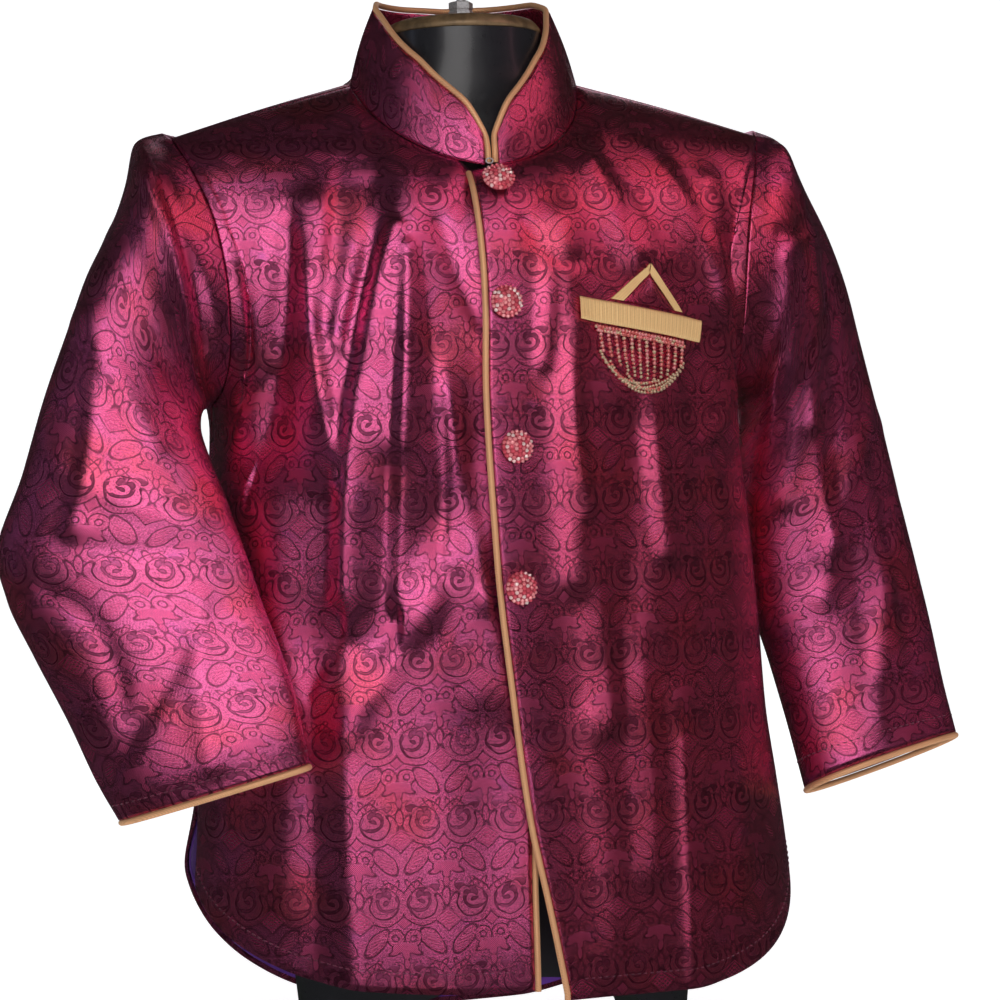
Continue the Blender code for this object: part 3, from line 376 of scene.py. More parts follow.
def column_angle(face, side, share, z):
    phi = TOP[face].phi(share)
    if face == "back":
        return phi
    x = EDGE[side](z)
    reach = (np.abs(x) / SIDE["front"](z)) ** (RING_POWER / 2.0)
    start = np.sign(x) * np.degrees(np.arcsin(reach))
    return start + phi * (90.0 - start) / 90.0


def plain_points(face, side, share, v):
    """A panel without folds, in millimetres, on the wearer's own side."""
    top = TOP[face]
    base = top.base(share)
    low = HEM_LINE[face, side](top.phi(share))
    z = low + (base - low) * np.minimum(v / SKIRT_SHARE, 1.0)
    start = ring_points(face, column_angle(face, side, share, z), z)
    lower = base - 4.0  # a place a little below, to see which way the skirt runs
    below = ring_points(face, column_angle(face, side, share, lower), lower)
    end = top.points(share)
    if face == "front":
        past = np.where(share < CENTRE_FRONT, EDGE[side](end[..., 2]) / FRONT_TOP["x"][0], 1.0)
        end[..., 0] *= past
    reach = np.linalg.norm(end - start, axis=-1, keepdims=True)
    lean = np.radians(top.lean(share))
    leave = unit(start - below + 1e-9) * reach
    arrive = np.stack([top.out(share), -FACING[face] * np.sin(lean), np.cos(lean)], axis=-1)
    arrive = unit(arrive) * reach
    t = np.clip((v - SKIRT_SHARE) / (1.0 - SKIRT_SHARE), 0.0, 1.0)[..., None]
    return eased(t, start, leave, end, arrive)


def normals_of(surface, u, v, flip, step=0.002):
    """Unit normals of a surface function, pointing out of the garment."""
    along = surface(np.minimum(u + step, 1.0), v) - surface(np.maximum(u - step, 0.0), v)
    up = surface(u, np.minimum(v + step, 1.0)) - surface(u, np.maximum(v - step, 0.0))
    normals = unit(np.cross(along, up))
    return -normals if flip else normals


def lap_offset(face, side, points, v):
    """The under front is pressed in at the edge, the upper one stands off."""
    x, z = points[..., 0], points[..., 2]
    if face == "back":
        return 0.0 * x
    if side == LEFT:
        return LAP_LIFT * (1.0 - smooth_step(-10.0, 20.0, x)) * smooth_step(0.0, 0.03, 1.0 - v)
    near_neck = smooth_step(0.8, 1.0, v)
    start, end = [wide + (narrow - wide) * near_neck
                  for wide, narrow in zip(LAP_FADE, NECK_LAP_FADE)]
    fade = 1.0 - smooth_step(start, end, x)
    low = smooth_step(40.0, 130.0, z)
    return -LAP_PUSH * fade * (0.35 + 0.65 * low + 0.2 * near_neck)


LINE_STEPS = 8          # straight steps along a fold's curved line


def nearest(points, x, z):
    """Distance to a curved line, its signed side and the place along it, 0 to 1."""
    x0, z0, x1, z1, x2, z2 = points
    best = np.full_like(x, 1e9)
    signed, place = np.zeros_like(x), np.zeros_like(x)
    t = np.linspace(0.0, 1.0, LINE_STEPS + 1)
    px, pz = bent(t, x0, x1, x2), bent(t, z0, z1, z2)
    for i, (ax, az, bx, bz) in enumerate(zip(px, pz, px[1:], pz[1:])):
        dx, dz = bx - ax, bz - az
        length = dx * dx + dz * dz
        share = np.clip(((x - ax) * dx + (z - az) * dz) / length, 0.0, 1.0)
        gx, gz = x - ax - share * dx, z - az - share * dz
        gap = np.hypot(gx, gz)
        nearer = gap < best
        best = np.where(nearer, gap, best)
        signed = np.where(nearer, (gx * dz - gz * dx) / math.sqrt(length), signed)
        place = np.where(nearer, (i + share) / LINE_STEPS, place)
    return best, signed, place


def fold_heights(folds, x, z):
    """Sum of the soft ridges and troughs at each point, in millimetres."""
    total = np.zeros_like(x)
    for *line, width, height in zip(*folds.values()):
        total += height * np.exp(-(nearest(line, x, z)[0] / width) ** 2)
    return total


def pleat_heights(pleats, x, z):
    """Sum of the flat-sided folds; each flank has its own width at either end."""
    total = np.zeros_like(x)
    for *line, low0, low1, high0, high1, height in zip(*pleats.values()):
        best, signed, place = nearest(line, x, z)
        wide = np.where(signed > 0.0, low0 + (low1 - low0) * place,
                        high0 + (high1 - high0) * place)
        left = 1.0 - np.sqrt((best / wide) ** 2 + 0.012)
        deep = height * (0.4 + 0.6 * smooth_step(0.0, 0.5, place))
        total += deep * 0.5 * (left + np.sqrt(left ** 2 + 0.006))
    return total


# Finer creases of the cloth, smaller than those of the solids beneath it.
CREASES = {
    ("front", RIGHT): table(
        FOLD,
        (31, 318, 27, 283, 17, 220, 5, 1.4), (30, 400, 22, 372, 12, 352, 5, -1.6),
        (17, 222, 12, 196, 5, 170, 6, 1.3), (84, 160, 64, 192, 40, 226, 6, 1.4),
        (118, 300, 110, 200, 112, 80, 9, 1.2), (112, 330, 122, 322, 131, 330, 4, -1.2)),
    ("front", LEFT): table(
        FOLD,
        (10, 400, 22, 384, 34, 380, 4.5, -1.2), (79, 150, 77, 92, 75, 34, 2.4, 0.9),
        (108, 200, 110, 130, 104, 70, 8, 1), (30, 160, 36, 100, 34, 44, 9, 1),
        (118, 318, 108, 300, 96, 292, 4, 1.1)),
    ("back", RIGHT): table(
        FOLD,
        (30, 470, 44, 430, 70, 408, 4.5, 1), (84, 440, 92, 400, 96, 350, 4.5, 1.3),
        (118, 350, 108, 320, 84, 300, 5, 1.3), (124, 310, 104, 292, 70, 286, 5.5, -1.2),
        (24, 290, 28, 180, 22, 40, 7, 1.2), (82, 220, 84, 140, 88, 50, 7, 1.2)),
    ("back", LEFT): table(
        FOLD,
        (26, 474, 50, 440, 66, 400, 4.5, 1), (92, 432, 96, 390, 92, 345, 4.5, 1.2),
        (120, 342, 104, 318, 78, 306, 5, 1.3), (34, 260, 30, 160, 36, 36, 7, 1.2),
        (100, 210, 98, 130, 104, 60, 7, 1.1)),
}

# Creases of the sleeves, on the half that faces front and the half behind.
SLEEVE_CREASES = {
    ("front", RIGHT): table(
        FOLD,
        (166, 430, 150, 372, 142, 318, 3.2, 1.6), (158, 420, 146, 380, 140, 345, 4, -1.6),
        (196, 360, 182, 330, 166, 300, 6, 1.2), (216, 292, 188, 276, 150, 262, 6, 0.8),
        (226, 262, 196, 252, 160, 250, 5, -0.7), (218, 232, 196, 214, 186, 176, 5.5, -1.2),
        (150, 226, 152, 190, 148, 150, 6.5, 1.2)),
    ("back", RIGHT): table(
        FOLD,
        (176, 400, 172, 350, 168, 300, 6, 1.3), (220, 280, 190, 268, 150, 262, 5, 1.4),
        (228, 246, 192, 240, 150, 236, 4.5, -1.2)),
    ("front", LEFT): table(
        FOLD,
        (160, 442, 163, 425, 166, 402, 3.4, 1.5), (168, 408, 160, 398, 148, 396, 3, -1.5),
        (172, 396, 164, 392, 150, 384, 3, 1.2), (166, 384, 168, 340, 166, 300, 4.2, 1.5),
        (178, 376, 182, 330, 178, 290, 4.6, -1.2), (150, 330, 156, 300, 152, 262, 5, 1.2),
        (200, 300, 184, 262, 170, 214, 7, 1.3), (214, 240, 200, 200, 194, 150, 7, 1.1)),
    ("back", LEFT): table(
        FOLD,
        (172, 400, 176, 350, 172, 300, 6, 1.3), (206, 300, 186, 282, 156, 276, 5.5, 1.3),
        (212, 260, 190, 250, 160, 250, 5, -1.1)),
}

# Flat-sided folds: low is the flank nearer the middle of the coat, high the other,
# each with its width at the line's first and last point.
PLEATS = {
    ("front", RIGHT): table(
        PLEAT,
        (97, 406, 104, 355, 118, 292, 4, 24, 8, 12, -4.6),
        (94, 400, 91, 350, 83, 290, 4, 5, 6, 22, 3.8),
        (72, 432, 80, 392, 86, 350, 6, 5, 5, 5, -2.2),
        (63, 424, 71, 388, 79, 345, 7, 7, 5, 5, 2.2),
        (53, 414, 65, 382, 76, 348, 5, 6, 5, 5, -2.2),
        (51, 398, 70, 334, 82, 226, 6, 25, 5, 8, 6.2),
        (46, 388, 51, 318, 57, 222, 5, 23, 5, 8, 5.4),
        (33, 330, 30, 285, 34, 240, 5, 10, 3, 4, 1.8),
        (83, 222, 83, 130, 82, 36, 34, 34, 15, 17, 4.4),
        (18, 294, 46, 250, 80, 204, 24, 26, 34, 38, -5.4)),
    ("front", LEFT): table(
        PLEAT,
        (-10, 430, -10, 240, 6, 40, 24, 24, 30, 28, 4.6),
        (46, 448, 52, 414, 66, 384, 11, 12, 10, 10, 3.2),
        (70, 448, 94, 412, 110, 366, 20, 20, 12, 12, 4.6),
        (19, 388, 18, 360, 15, 332, 6, 6, 7, 6, 2.4),
        (34, 350, 29, 308, 36, 262, 8, 9, 7, 6, 2.8),
        (34, 250, 40, 212, 42, 160, 14, 14, 8, 8, 3), (72, 326, 72, 288, 76, 240, 9, 8, 9, 9, 3),
        (112, 390, 118, 345, 121, 292, 11, 10, 6, 6, 3.2),
        (58, 200, 62, 150, 60, 90, 14, 12, 8, 8, 1.8)),
    ("back", RIGHT): table(
        PLEAT,
        (60, 440, 72, 392, 88, 345, 8, 12, 6, 6, 2.6),
        (30, 330, 34, 240, 36, 130, 9, 14, 8, 10, 2.2)),
    ("back", LEFT): table(
        PLEAT,
        (66, 444, 82, 400, 100, 352, 9, 12, 6, 6, 2.6),
        (44, 320, 40, 250, 50, 150, 9, 12, 8, 10, 2.2)),
}

SLEEVE_PLEATS = {
    RIGHT: table(
        PLEAT,
        (167, 440, 152, 372, 142, 318, 5, 6, 14, 14, 3.2),
        (154, 210, 176, 176, 196, 144, 7, 7, 8, 8, -2),
        (192, 340, 196, 300, 206, 262, 10, 10, 7, 7, 2)),
    LEFT: table(
        PLEAT,
        (158, 424, 170, 396, 172, 360, 9, 9, 5, 5, 2.6),
        (162, 330, 168, 290, 176, 240, 12, 16, 7, 7, 3),
        (190, 300, 200, 240, 206, 180, 14, 16, 8, 8, 2.4)),
}


# How far the skirt swings out at the hem, and between which heights.
HEM_FLARE = {"front": 5.5, "back": 3.0}
FLARE_HEIGHTS = (30.0, 170.0)


def panel_surface(face, side, raise_by=0.0):
    """Outer surface of a panel in metres, as a function of u and v arrays."""
    def plain(u, v):
        return plain_points(face, side, u, v)

    def surface(u, v):
        points = plain(u, v)
        normals = normals_of(plain, u, v, face == "back")
        calm_top, calm_side = SEAM_CALM
        calm = smooth_step(0.0, calm_top, 1.0 - v) * smooth_step(0.0, calm_side, 1.0 - u)
        x, z = points[..., 0], points[..., 2]
        lift = lap_offset(face, side, points, v) + raise_by
        lift = lift + fold_heights(FOLDS[face, side], x, z) * calm
        fine = fold_heights(CREASES[face, side], x, z)
        fine = fine + pleat_heights(PLEATS[face, side], x, z)
        fine = fine + HEM_FLARE[face] * (1.0 - smooth_step(*FLARE_HEIGHTS, z))
        lift = lift + fine * np.minimum(calm * 2.0, 1.0)
        points = points + normals * lift[..., None]
        points[..., 1] += FACING[face] * SEAM_GAP / 2.0
        points[..., 0] *= side
        return points * MM

    return surface


def whole_back(raise_by):
    """Both halves of the back as one surface, u from right side to left."""
    halves = {side: panel_surface("back", side, raise_by) for side in (RIGHT, LEFT)}

    def surface(u, v):
        right = halves[RIGHT](np.abs(2.0 * u - 1.0), v)
        left = halves[LEFT](np.abs(2.0 * u - 1.0), v)
        return np.where((u < 0.5)[..., None], right, left)

    return surface


ARM_TURN = 0.45         # share of the armhole that the front holds
ARM_BLEND = 0.06        # share over which the front's creases die out at the turn
ARM_REST = 3.0          # rings over which a sleeve leaves its armhole

# A sleeve's front half is pressed flatter than an ellipse and fuller on one side.
SLEEVE_FRONT = {RIGHT: (0.74, 0.38), LEFT: (0.88, -0.40)}


def armhole_points(around):
    """The armhole seam, from the shoulder tip down the front and up the back."""
    ahead = SHOULDER_TIP + (1.0 - SHOULDER_TIP) * around / ARM_TURN
    behind = 1.0 - (1.0 - SHOULDER_TIP) * (around - ARM_TURN) / (1.0 - ARM_TURN)
    places = np.where((around <= ARM_TURN)[..., None],
                      TOP["front"].points(np.minimum(ahead, 1.0)),
                      TOP["back"].points(np.minimum(behind, 1.0)))
    places[..., 0] += SEAM_GAP
    return places


def sleeve_surface(side):
    """Outer surface of a sleeve in metres: around and along both run 0 to 1."""
    column, last = row_curves(SLEEVE[side])

    def frame_at(ring):
        outer, inner = [np.stack([column[f"{edge}_{axis}"](ring) for axis in "xyz"], axis=-1)
                        for edge in ("out", "in")]
        half = (outer - inner) / 2.0
        tilt = column["tilt"](ring)
        ahead = np.stack([0.0 * tilt, -1.0 + 0.0 * tilt, tilt], axis=-1)
        ahead = unit(ahead - half * dots(ahead, half) / dots(half, half))
        return (outer + inner) / 2.0, half, ahead

    power, fuller = SLEEVE_FRONT[side]

    def ellipse(ring, angle):
        centre, half, ahead = frame_at(ring)
        worn = smooth_step(0.5, 4.0, ring)
        sine, cosine = np.sin(angle), np.cos(angle)
        rise = np.abs(sine) ** (1.0 - (1.0 - power) * worn) * (1.0 + fuller * worn * cosine)
        depth = np.where(sine > 0.0, column["front"](ring) * rise, column["back"](ring) * sine)
        return centre + half * cosine[..., None] + ahead * depth[..., None]

    def seam_angle(around):
        centre, half, ahead = frame_at(0.0 * around)
        offset = armhole_points(around) - centre
        angle = np.arctan2(dots(offset, ahead)[..., 0] / column["front"](0.0),
                           dots(offset, half)[..., 0] / dots(half, half)[..., 0])
        return np.where((around > ARM_TURN) & (angle < 0.5), angle + 2.0 * math.pi, angle)

    top_angle = float(seam_angle(np.zeros(1))[0])

    def plain(around, along):
        ring = along * last
        seam = seam_angle(around)
        even = top_angle + 2.0 * math.pi * around
        angle = seam + (even - seam) * smooth_step(0.0, 5.0, ring)
        points = ellipse(ring, angle)
        rest = np.maximum(1.0 - ring / ARM_REST, 0.0) ** 2
        return points + (armhole_points(around) - ellipse(0.0 * ring, seam)) * rest[..., None]

    def surface(around, along):
        points = plain(around, along)
        normals = normals_of(plain, around, along, False, 0.003)
        x, z = points[..., 0], points[..., 2]
        ahead = 1.0 - smooth_step(ARM_TURN - ARM_BLEND, ARM_TURN, around)
        behind = smooth_step(ARM_TURN, ARM_TURN + ARM_BLEND, around)
        calm = smooth_step(0.0, 0.03, along) * (1.0 - 0.7 * smooth_step(0.94, 1.0, along))
        calm = calm * smooth_step(0.0, 0.02, around) * smooth_step(0.0, 0.02, 1.0 - around)
        lift = fold_heights(SLEEVE_CREASES["front", side], x, z)
        lift = (lift + pleat_heights(SLEEVE_PLEATS[side], x, z)) * ahead
        lift = lift + fold_heights(SLEEVE_CREASES["back", side], x, z) * behind
        points = points + normals * (lift * calm)[..., None]
        points[..., 0] *= side
        return points * MM

    return surface


def neck_points(around):
    """Neck seam from centre front (0) over the shoulder to centre back (1)."""
    ahead = CENTRE_FRONT + (FRONT_NECK - CENTRE_FRONT) * np.minimum(around, 0.5) / 0.5
    behind = BACK_NECK * (1.0 - (np.maximum(around, 0.5) - 0.5) / 0.5)
    return np.where((around <= 0.5)[..., None],
                    TOP["front"].points(ahead), TOP["back"].points(behind))


def collar_surface(around, up):
    """Collar's outer surface: around runs from the left end to the right end."""
    rise, lean = [Curve(COLLAR["phi"], COLLAR[name]) for name in ("rise", "lean")]
    half = 1.0 - np.abs(2.0 * around - 1.0)
    side = np.where(around < 0.5, LEFT, RIGHT)
    points = neck_points(half)
    flat = points * np.array([1.0, 1.0, 0.0])
    out = unit(flat)
    phi = np.degrees(np.arctan2(points[..., 0], -points[..., 1]))
    points[..., 2] += SEAM_GAP + 0.1 + (rise(phi) + 0.8) * up
    points -= out * (lean(phi) * up)[..., None]
    points += out * (COLLAR_BOW * np.sin(np.pi * np.clip(up, 0.0, 1.0)))[..., None]
    ends = COLLAR_END_GAP * (1.0 - smooth_step(0.0, 0.2, half))
    points[..., 0] = side * (points[..., 0] + ends)
    return points * MM


def form_surface(turn, up):
    """The torso form's skin: turn runs once round, up from its base to the neck."""
    column, last = row_curves(FORM)
    side, front, back, z = [column[name](up * last) for name in ("side", "front", "back", "z")]
    sine, cosine = np.sin(2.0 * math.pi * turn), np.cos(2.0 * math.pi * turn)
    power = 2.0 / FORM_POWER
    x = side * np.sign(cosine) * np.abs(cosine) ** power
    y = np.where(sine > 0.0, back, front) * np.sign(sine) * np.abs(sine) ** power
    return np.stack([x, y, z], axis=-1) * MM


class PanelMap:
    """Finds a panel's surface at a given x and z, by Newton's method."""

    START, STEP, ROUNDS = (0.3, 0.6), 0.004, 14

    def __init__(self, face, side):
        self.surface, self.flip = panel_surface(face, side), side == RIGHT

    def at(self, x, z, lift):
        """Points lifted off the surface and their normals; millimetres in, metres out."""
        x, z = np.atleast_1d(np.asarray(x, float)), np.atleast_1d(np.asarray(z, float))
        u, v = [np.full_like(x, start) for start in self.START]
        for _ in range(self.ROUNDS):
            here = self.surface(u, v)
            du = (self.surface(u + self.STEP, v) - here) / self.STEP
            dv = (self.surface(u, v + self.STEP) - here) / self.STEP
            miss_x, miss_z = x * MM - here[:, 0], z * MM - here[:, 2]
            spread = du[:, 0] * dv[:, 2] - dv[:, 0] * du[:, 2]
            u = np.clip(u + (miss_x * dv[:, 2] - dv[:, 0] * miss_z) / spread, 0.005, 0.99)
            v = np.clip(v + (du[:, 0] * miss_z - miss_x * du[:, 2]) / spread, 0.005, 0.99)
        normals = normals_of(self.surface, u, v, self.flip)
        lift = np.broadcast_to(np.asarray(lift, float), x.shape)
        return self.surface(u, v) + normals * (lift * MM)[:, None], normals


# ------------------------------------------------------ cloth measured as cut

# Depth of the coat's middle at each height, and the cloth's length up to there.
PROFILE_Z = np.array([0.0, 345.0, 380.0, 400.0, 420.0, 430.0, 445.0, 460.0, 475.0, 492.0])
PROFILE_Y = {"front": np.array([86.0, 84.0, 78.0, 71.0, 62.0, 54.0, 38.0, 20.0, 5.0, -8.0]),
             "back": np.array([86.0, 82.0, 80.0, 77.0, 72.0, 69.0, 64.0, 58.0, 52.0, 46.0])}

ROUNDING = 1.37         # how much the cloth that turns away adds to the width across


def cloth_places(face, points):
    """Where each point lies on the flat cloth, in metres: across and up the grain."""
    x, y, z = np.moveaxis(points / MM, -1, 0)
    depth = PROFILE_Y[face]
    steps = np.hypot(np.diff(PROFILE_Z), np.diff(depth))
    length = np.concatenate([[0.0], np.cumsum(steps)])
    sunk = np.interp(z, PROFILE_Z, depth) - np.abs(y)
    across = np.sign(x) * np.sqrt(x ** 2 + ROUNDING * np.maximum(sunk, 0.0) ** 2)
    return np.stack([across, np.interp(z, PROFILE_Z, length)], axis=-1) * MM


# ------------------------------------------------------------------ materials

class Nodes:
    """A node tree, with one call that makes a node of any kind."""

    def __init__(self, tree):
        self.tree = tree

    def node(self, kind, settings=None, *values, **inputs):
        """A node of a kind: its settings first, then the values or links it takes."""
        made = self.tree.nodes.new(kind)
        for name, value in (settings or {}).items():
            setattr(made, name, value)
        self.feed(made, *enumerate(values), *inputs.items())
        return made

    def feed(self, node, *pairs):
        """Gives inputs of a node, by number or name, their value or link."""
        for name, value in pairs:
            slot = node.inputs[name.replace("_", " ") if isinstance(name, str) else name]
            if isinstance(value, Value):
                value = value.socket
            if isinstance(value, bpy.types.NodeSocket):
                self.tree.links.new(value, slot)
            else:
                slot.default_value = value


def maths(operation):
    """A method that works one step on a shader number."""
    return lambda value, *others: value.step(operation, *others)


class Value:
    """A shader number that adds a math node for each step worked on it."""

    def __init__(self, nodes, socket):
        self.nodes, self.socket = nodes, socket

    def step(self, operation, *others):
        node = self.nodes.node("ShaderNodeMath", {"operation": operation}, self, *others)
        return Value(self.nodes, node.outputs[0])

    __add__ = __radd__ = maths("ADD")
    __mul__ = __rmul__ = maths("MULTIPLY")
    __sub__, __truediv__ = maths("SUBTRACT"), maths("DIVIDE")
    at_least, at_most = maths("MAXIMUM"), maths("MINIMUM")
    size, sine = maths("ABSOLUTE"), maths("SINE")

    def __rsub__(self, other):
        return (self * -1.0) + other

    def mask(self, low, high):
        """0 at low and 1 at high, eased; low may be above high."""
        swap = float(low > high)
        node = self.nodes.node(
            "ShaderNodeMapRange", {"interpolation_type": "SMOOTHSTEP"}, Value=self,
            From_Min=min(low, high), From_Max=max(low, high), To_Min=swap, To_Max=1.0 - swap)
        return Value(self.nodes, node.outputs["Result"])


FINISH_NAME = "coat_"  # keeps the finishes apart from the solids' own materials


class Finish(Nodes):
    """One material's node tree, with short calls for its usual nodes."""

    def __init__(self, name):
        self.material = bpy.data.materials.new(FINISH_NAME + name)
        self.material.use_nodes = True
        super().__init__(self.material.node_tree)
        self.shader = self.tree.nodes["Principled BSDF"]

    def set(self, **inputs):
        self.feed(self.shader, *inputs.items())

    def mix(self, share, first, second):
        """A colour between two others."""
        node = self.node("ShaderNodeMix", {"data_type": "RGBA"})
        self.feed(node, (0, share), (6, first), (7, second))  # its colour inputs are 6 and 7
        return node.outputs[2]

    def object_place(self, scale=1.0 / MM):
        """The place on the object, in millimetres unless another scale is asked for."""
        place = self.node("ShaderNodeTexCoord").outputs["Object"]
        return self.node("ShaderNodeMapping", Vector=place, Scale=(scale,) * 3).outputs["Vector"]

    def cloth_place(self):
        """Across and up the cloth, in millimetres."""
        place = self.node("ShaderNodeUVMap", {"uv_map": "cloth"}).outputs["UV"]
        return self.part(place, "X") * 1000.0, self.part(place, "Y") * 1000.0

    def vector(self, x, y):
        return self.node("ShaderNodeCombineXYZ", X=x, Y=y).outputs["Vector"]

    def noise(self, vector, scale, detail=2.0, roughness=0.5):
        node = self.node("ShaderNodeTexNoise", Vector=vector, Scale=scale, Detail=detail,
                         Roughness=roughness)
        return Value(self, node.outputs["Fac"])

    def bump(self, height, distance, strength):
        return self.node("ShaderNodeBump", Height=height, Distance=distance,
                         Strength=strength).outputs["Normal"]

    def part(self, vector, axis):
        return Value(self, self.node("ShaderNodeSeparateXYZ", Vector=vector).outputs[axis])


def rgba(colour, share=1.0):
    """The colour, darkened to a share of itself."""
    return (*(c * share for c in colour[:3]), 1.0)


def joined(first, *others):
    """Several shapes as one: the lowest of their values at each place."""
    for other in others:
        first = first.at_most(other)
    return first


class Damask:
    """The woven figure, as masks over the flat cloth.

    Rows of ogee motifs, each row moved half a repeat: a latticed fan, a pair of
    scrolls filled with leaves over it, two veined leaves that end in curls below,
    and a stippled flower with a small diamond at the side.
    """

    WIDTH, ROW, LOW = 41.0, 37.0, 17.7

    def __init__(self, finish, x, y):
        wander = finish.vector(x, y)
        bend = finish.noise(wander, 0.10, 1.0) - 0.5
        sway = finish.noise(finish.vector(x + 71.0, y - 33.0), 0.10, 1.0) - 0.5
        self.weave = (x, y)
        self.depth = finish.noise(wander, 0.045, 1.0).mask(0.3, 0.7)
        self.ragged = finish.noise(wander, 0.42, 2.0, 0.6)
        x, y = x + bend * 2.4, y + sway * 2.4
        row = ((y + self.LOW) / self.ROW).step("FLOOR")
        shifted = x + row.step("FLOORED_MODULO", 2.0) * (self.WIDTH / 2.0)
        self.y = y - row * self.ROW
        self.x = (shifted - (shifted / self.WIDTH).step("ROUND") * self.WIDTH).size()
        self.draw()

    def away(self, cx, cy, sx=1.0, sy=1.0, turn=0.0):
        """Distance from a centre, with stretched and turned axes."""
        dx, dy = self.x - cx, self.y - cy
        if turn:
            c, s = math.cos(math.radians(turn)), math.sin(math.radians(turn))
            dx, dy = dx * c + dy * s, dy * c - dx * s
        if sx != 1.0:
            dx = dx / sx
        if sy != 1.0:
            dy = dy / sy
        return (dx * dx + dy * dy).step("SQRT")

    def leaf(self, cx, cy, long, wide, turn):
        """Below zero inside a leaf of that half length and half width, in millimetres."""
        return self.away(cx, cy, long / wide, 1.0, turn) - wide

    def comma(self, cx, cy, radius, dx, dy, bite):
        """Below zero inside a round that a second round bites into."""
        return (self.away(cx, cy) - radius).at_least(bite - self.away(cx + dx, cy + dy))

    def draw(self):
        x, y = self.x, self.y
        # the scrolls over the fan, open at their upper inner side
        reach = self.away(11.6, 7.9)
        gate = (x - 11.6) * -0.62 + (y - 7.9) * 0.78
        band = ((reach - 8.7).size() - 1.25).at_least(gate - 6.4)
        ground = (reach - 7.5).at_most(self.away(6.0, 14.2, 1.0, 0.7) - 3.6)
        rolled = ((11.3, 7.4, 6.3, 1.9, 2.4, 5.9), (12.9, 9.6, 4.1, -1.5, 1.5, 3.6),
                  (11.4, 9.0, 2.3, 1.1, -0.9, 1.6), (14.6, 12.2, 2.6, -1.6, -0.3, 2.1),
                  (8.4, 12.6, 2.5, 1.2, -1.2, 2.0), (15.9, 7.6, 2.0, -1.2, 0.4, 1.5),
                  (4.2, 14.8, 3.2, 1.6, 1.0, 2.7))
        leaves = joined(*(self.comma(*spot) for spot in rolled),
                        self.leaf(17.0, 15.4, 3.2, 1.0, 62.0),
                        self.leaf(13.4, 17.0, 2.6, 0.9, 130.0))
        # veined leaves under the fan, each rolling up into a curl
        blade = self.leaf(7.5, -9.6, 7.2, 3.3, 48.0)
        vein = self.leaf(7.2, -10.0, 4.6, 1.7, 48.0)
        curl = (self.away(16.4, -7.9) - 2.7).size() - 0.95
        # petals over the fan, the fan itself and its roof line
        petals = self.leaf(0.0, 10.4, 3.4, 1.5, 90.0).at_most(self.leaf(3.2, 8.6, 3.0, 1.2, 62.0))
        fan = x / 5.3 + (y + 0.3).size() / 4.6
        roof = ((y + x * 0.62 - 5.0).size() - 0.34).at_least(x - 6.8)
        diamond = ((x - 20.5).size() + (y + 1.0).size()) - 2.8
        flower = joined(self.away(20.5, -12.4, 1.0, 0.55) - 4.6, self.away(16.2, -12.6) - 1.9,
                        self.away(20.5, -15.4, 0.8, 1.1) - 2.0,
                        self.away(0.0, 17.4, 0.8, 1.6) - 1.5,
                        self.leaf(15.6, -14.2, 2.4, 1.0, 20.0))

        figure = joined(band, blade, curl, petals, diamond, flower, (fan - 1.12) * 4.0)
        self.fill = figure.at_most(leaves).mask(0.2, -0.2)
        lines = (figure - 0.3).size().at_most((leaves - 0.2).size() + 0.12)
        self.outline = lines.mask(0.5, 0.12) * self.ragged.mask(0.14, 0.46)
        hollow = ground.mask(0.3, -0.3) * (1.0 - self.fill)
        self.dark = hollow * (self.depth * 0.75 + 0.25) * self.ragged.mask(0.22, 0.46)
        # stippled flowers and the latticed fan catch the light as fine points
        cloth_x, cloth_y = self.weave
        dot = ((cloth_x * 6.9).sine() * (cloth_y * 6.9).sine()).mask(-0.1, 0.5)
        bars = ((x * 0.8 + y) * 3.6).sine().at_least(((x * 0.8 - y) * 3.6).sine())
        lattice = bars.mask(0.45, 0.9) * fan.mask(1.04, 0.96)
        veins = ((y - x * 0.35) * 4.4).sine().mask(0.1, 0.8) * vein.mask(0.2, -0.2)
        points = flower.at_most(diamond).mask(0.3, -0.3) * (dot * 0.85 + 0.15)
        self.bright = points.at_least(lattice).at_least(veins * 0.7).at_least(
            roof.mask(0.15, -0.15) * 0.7)


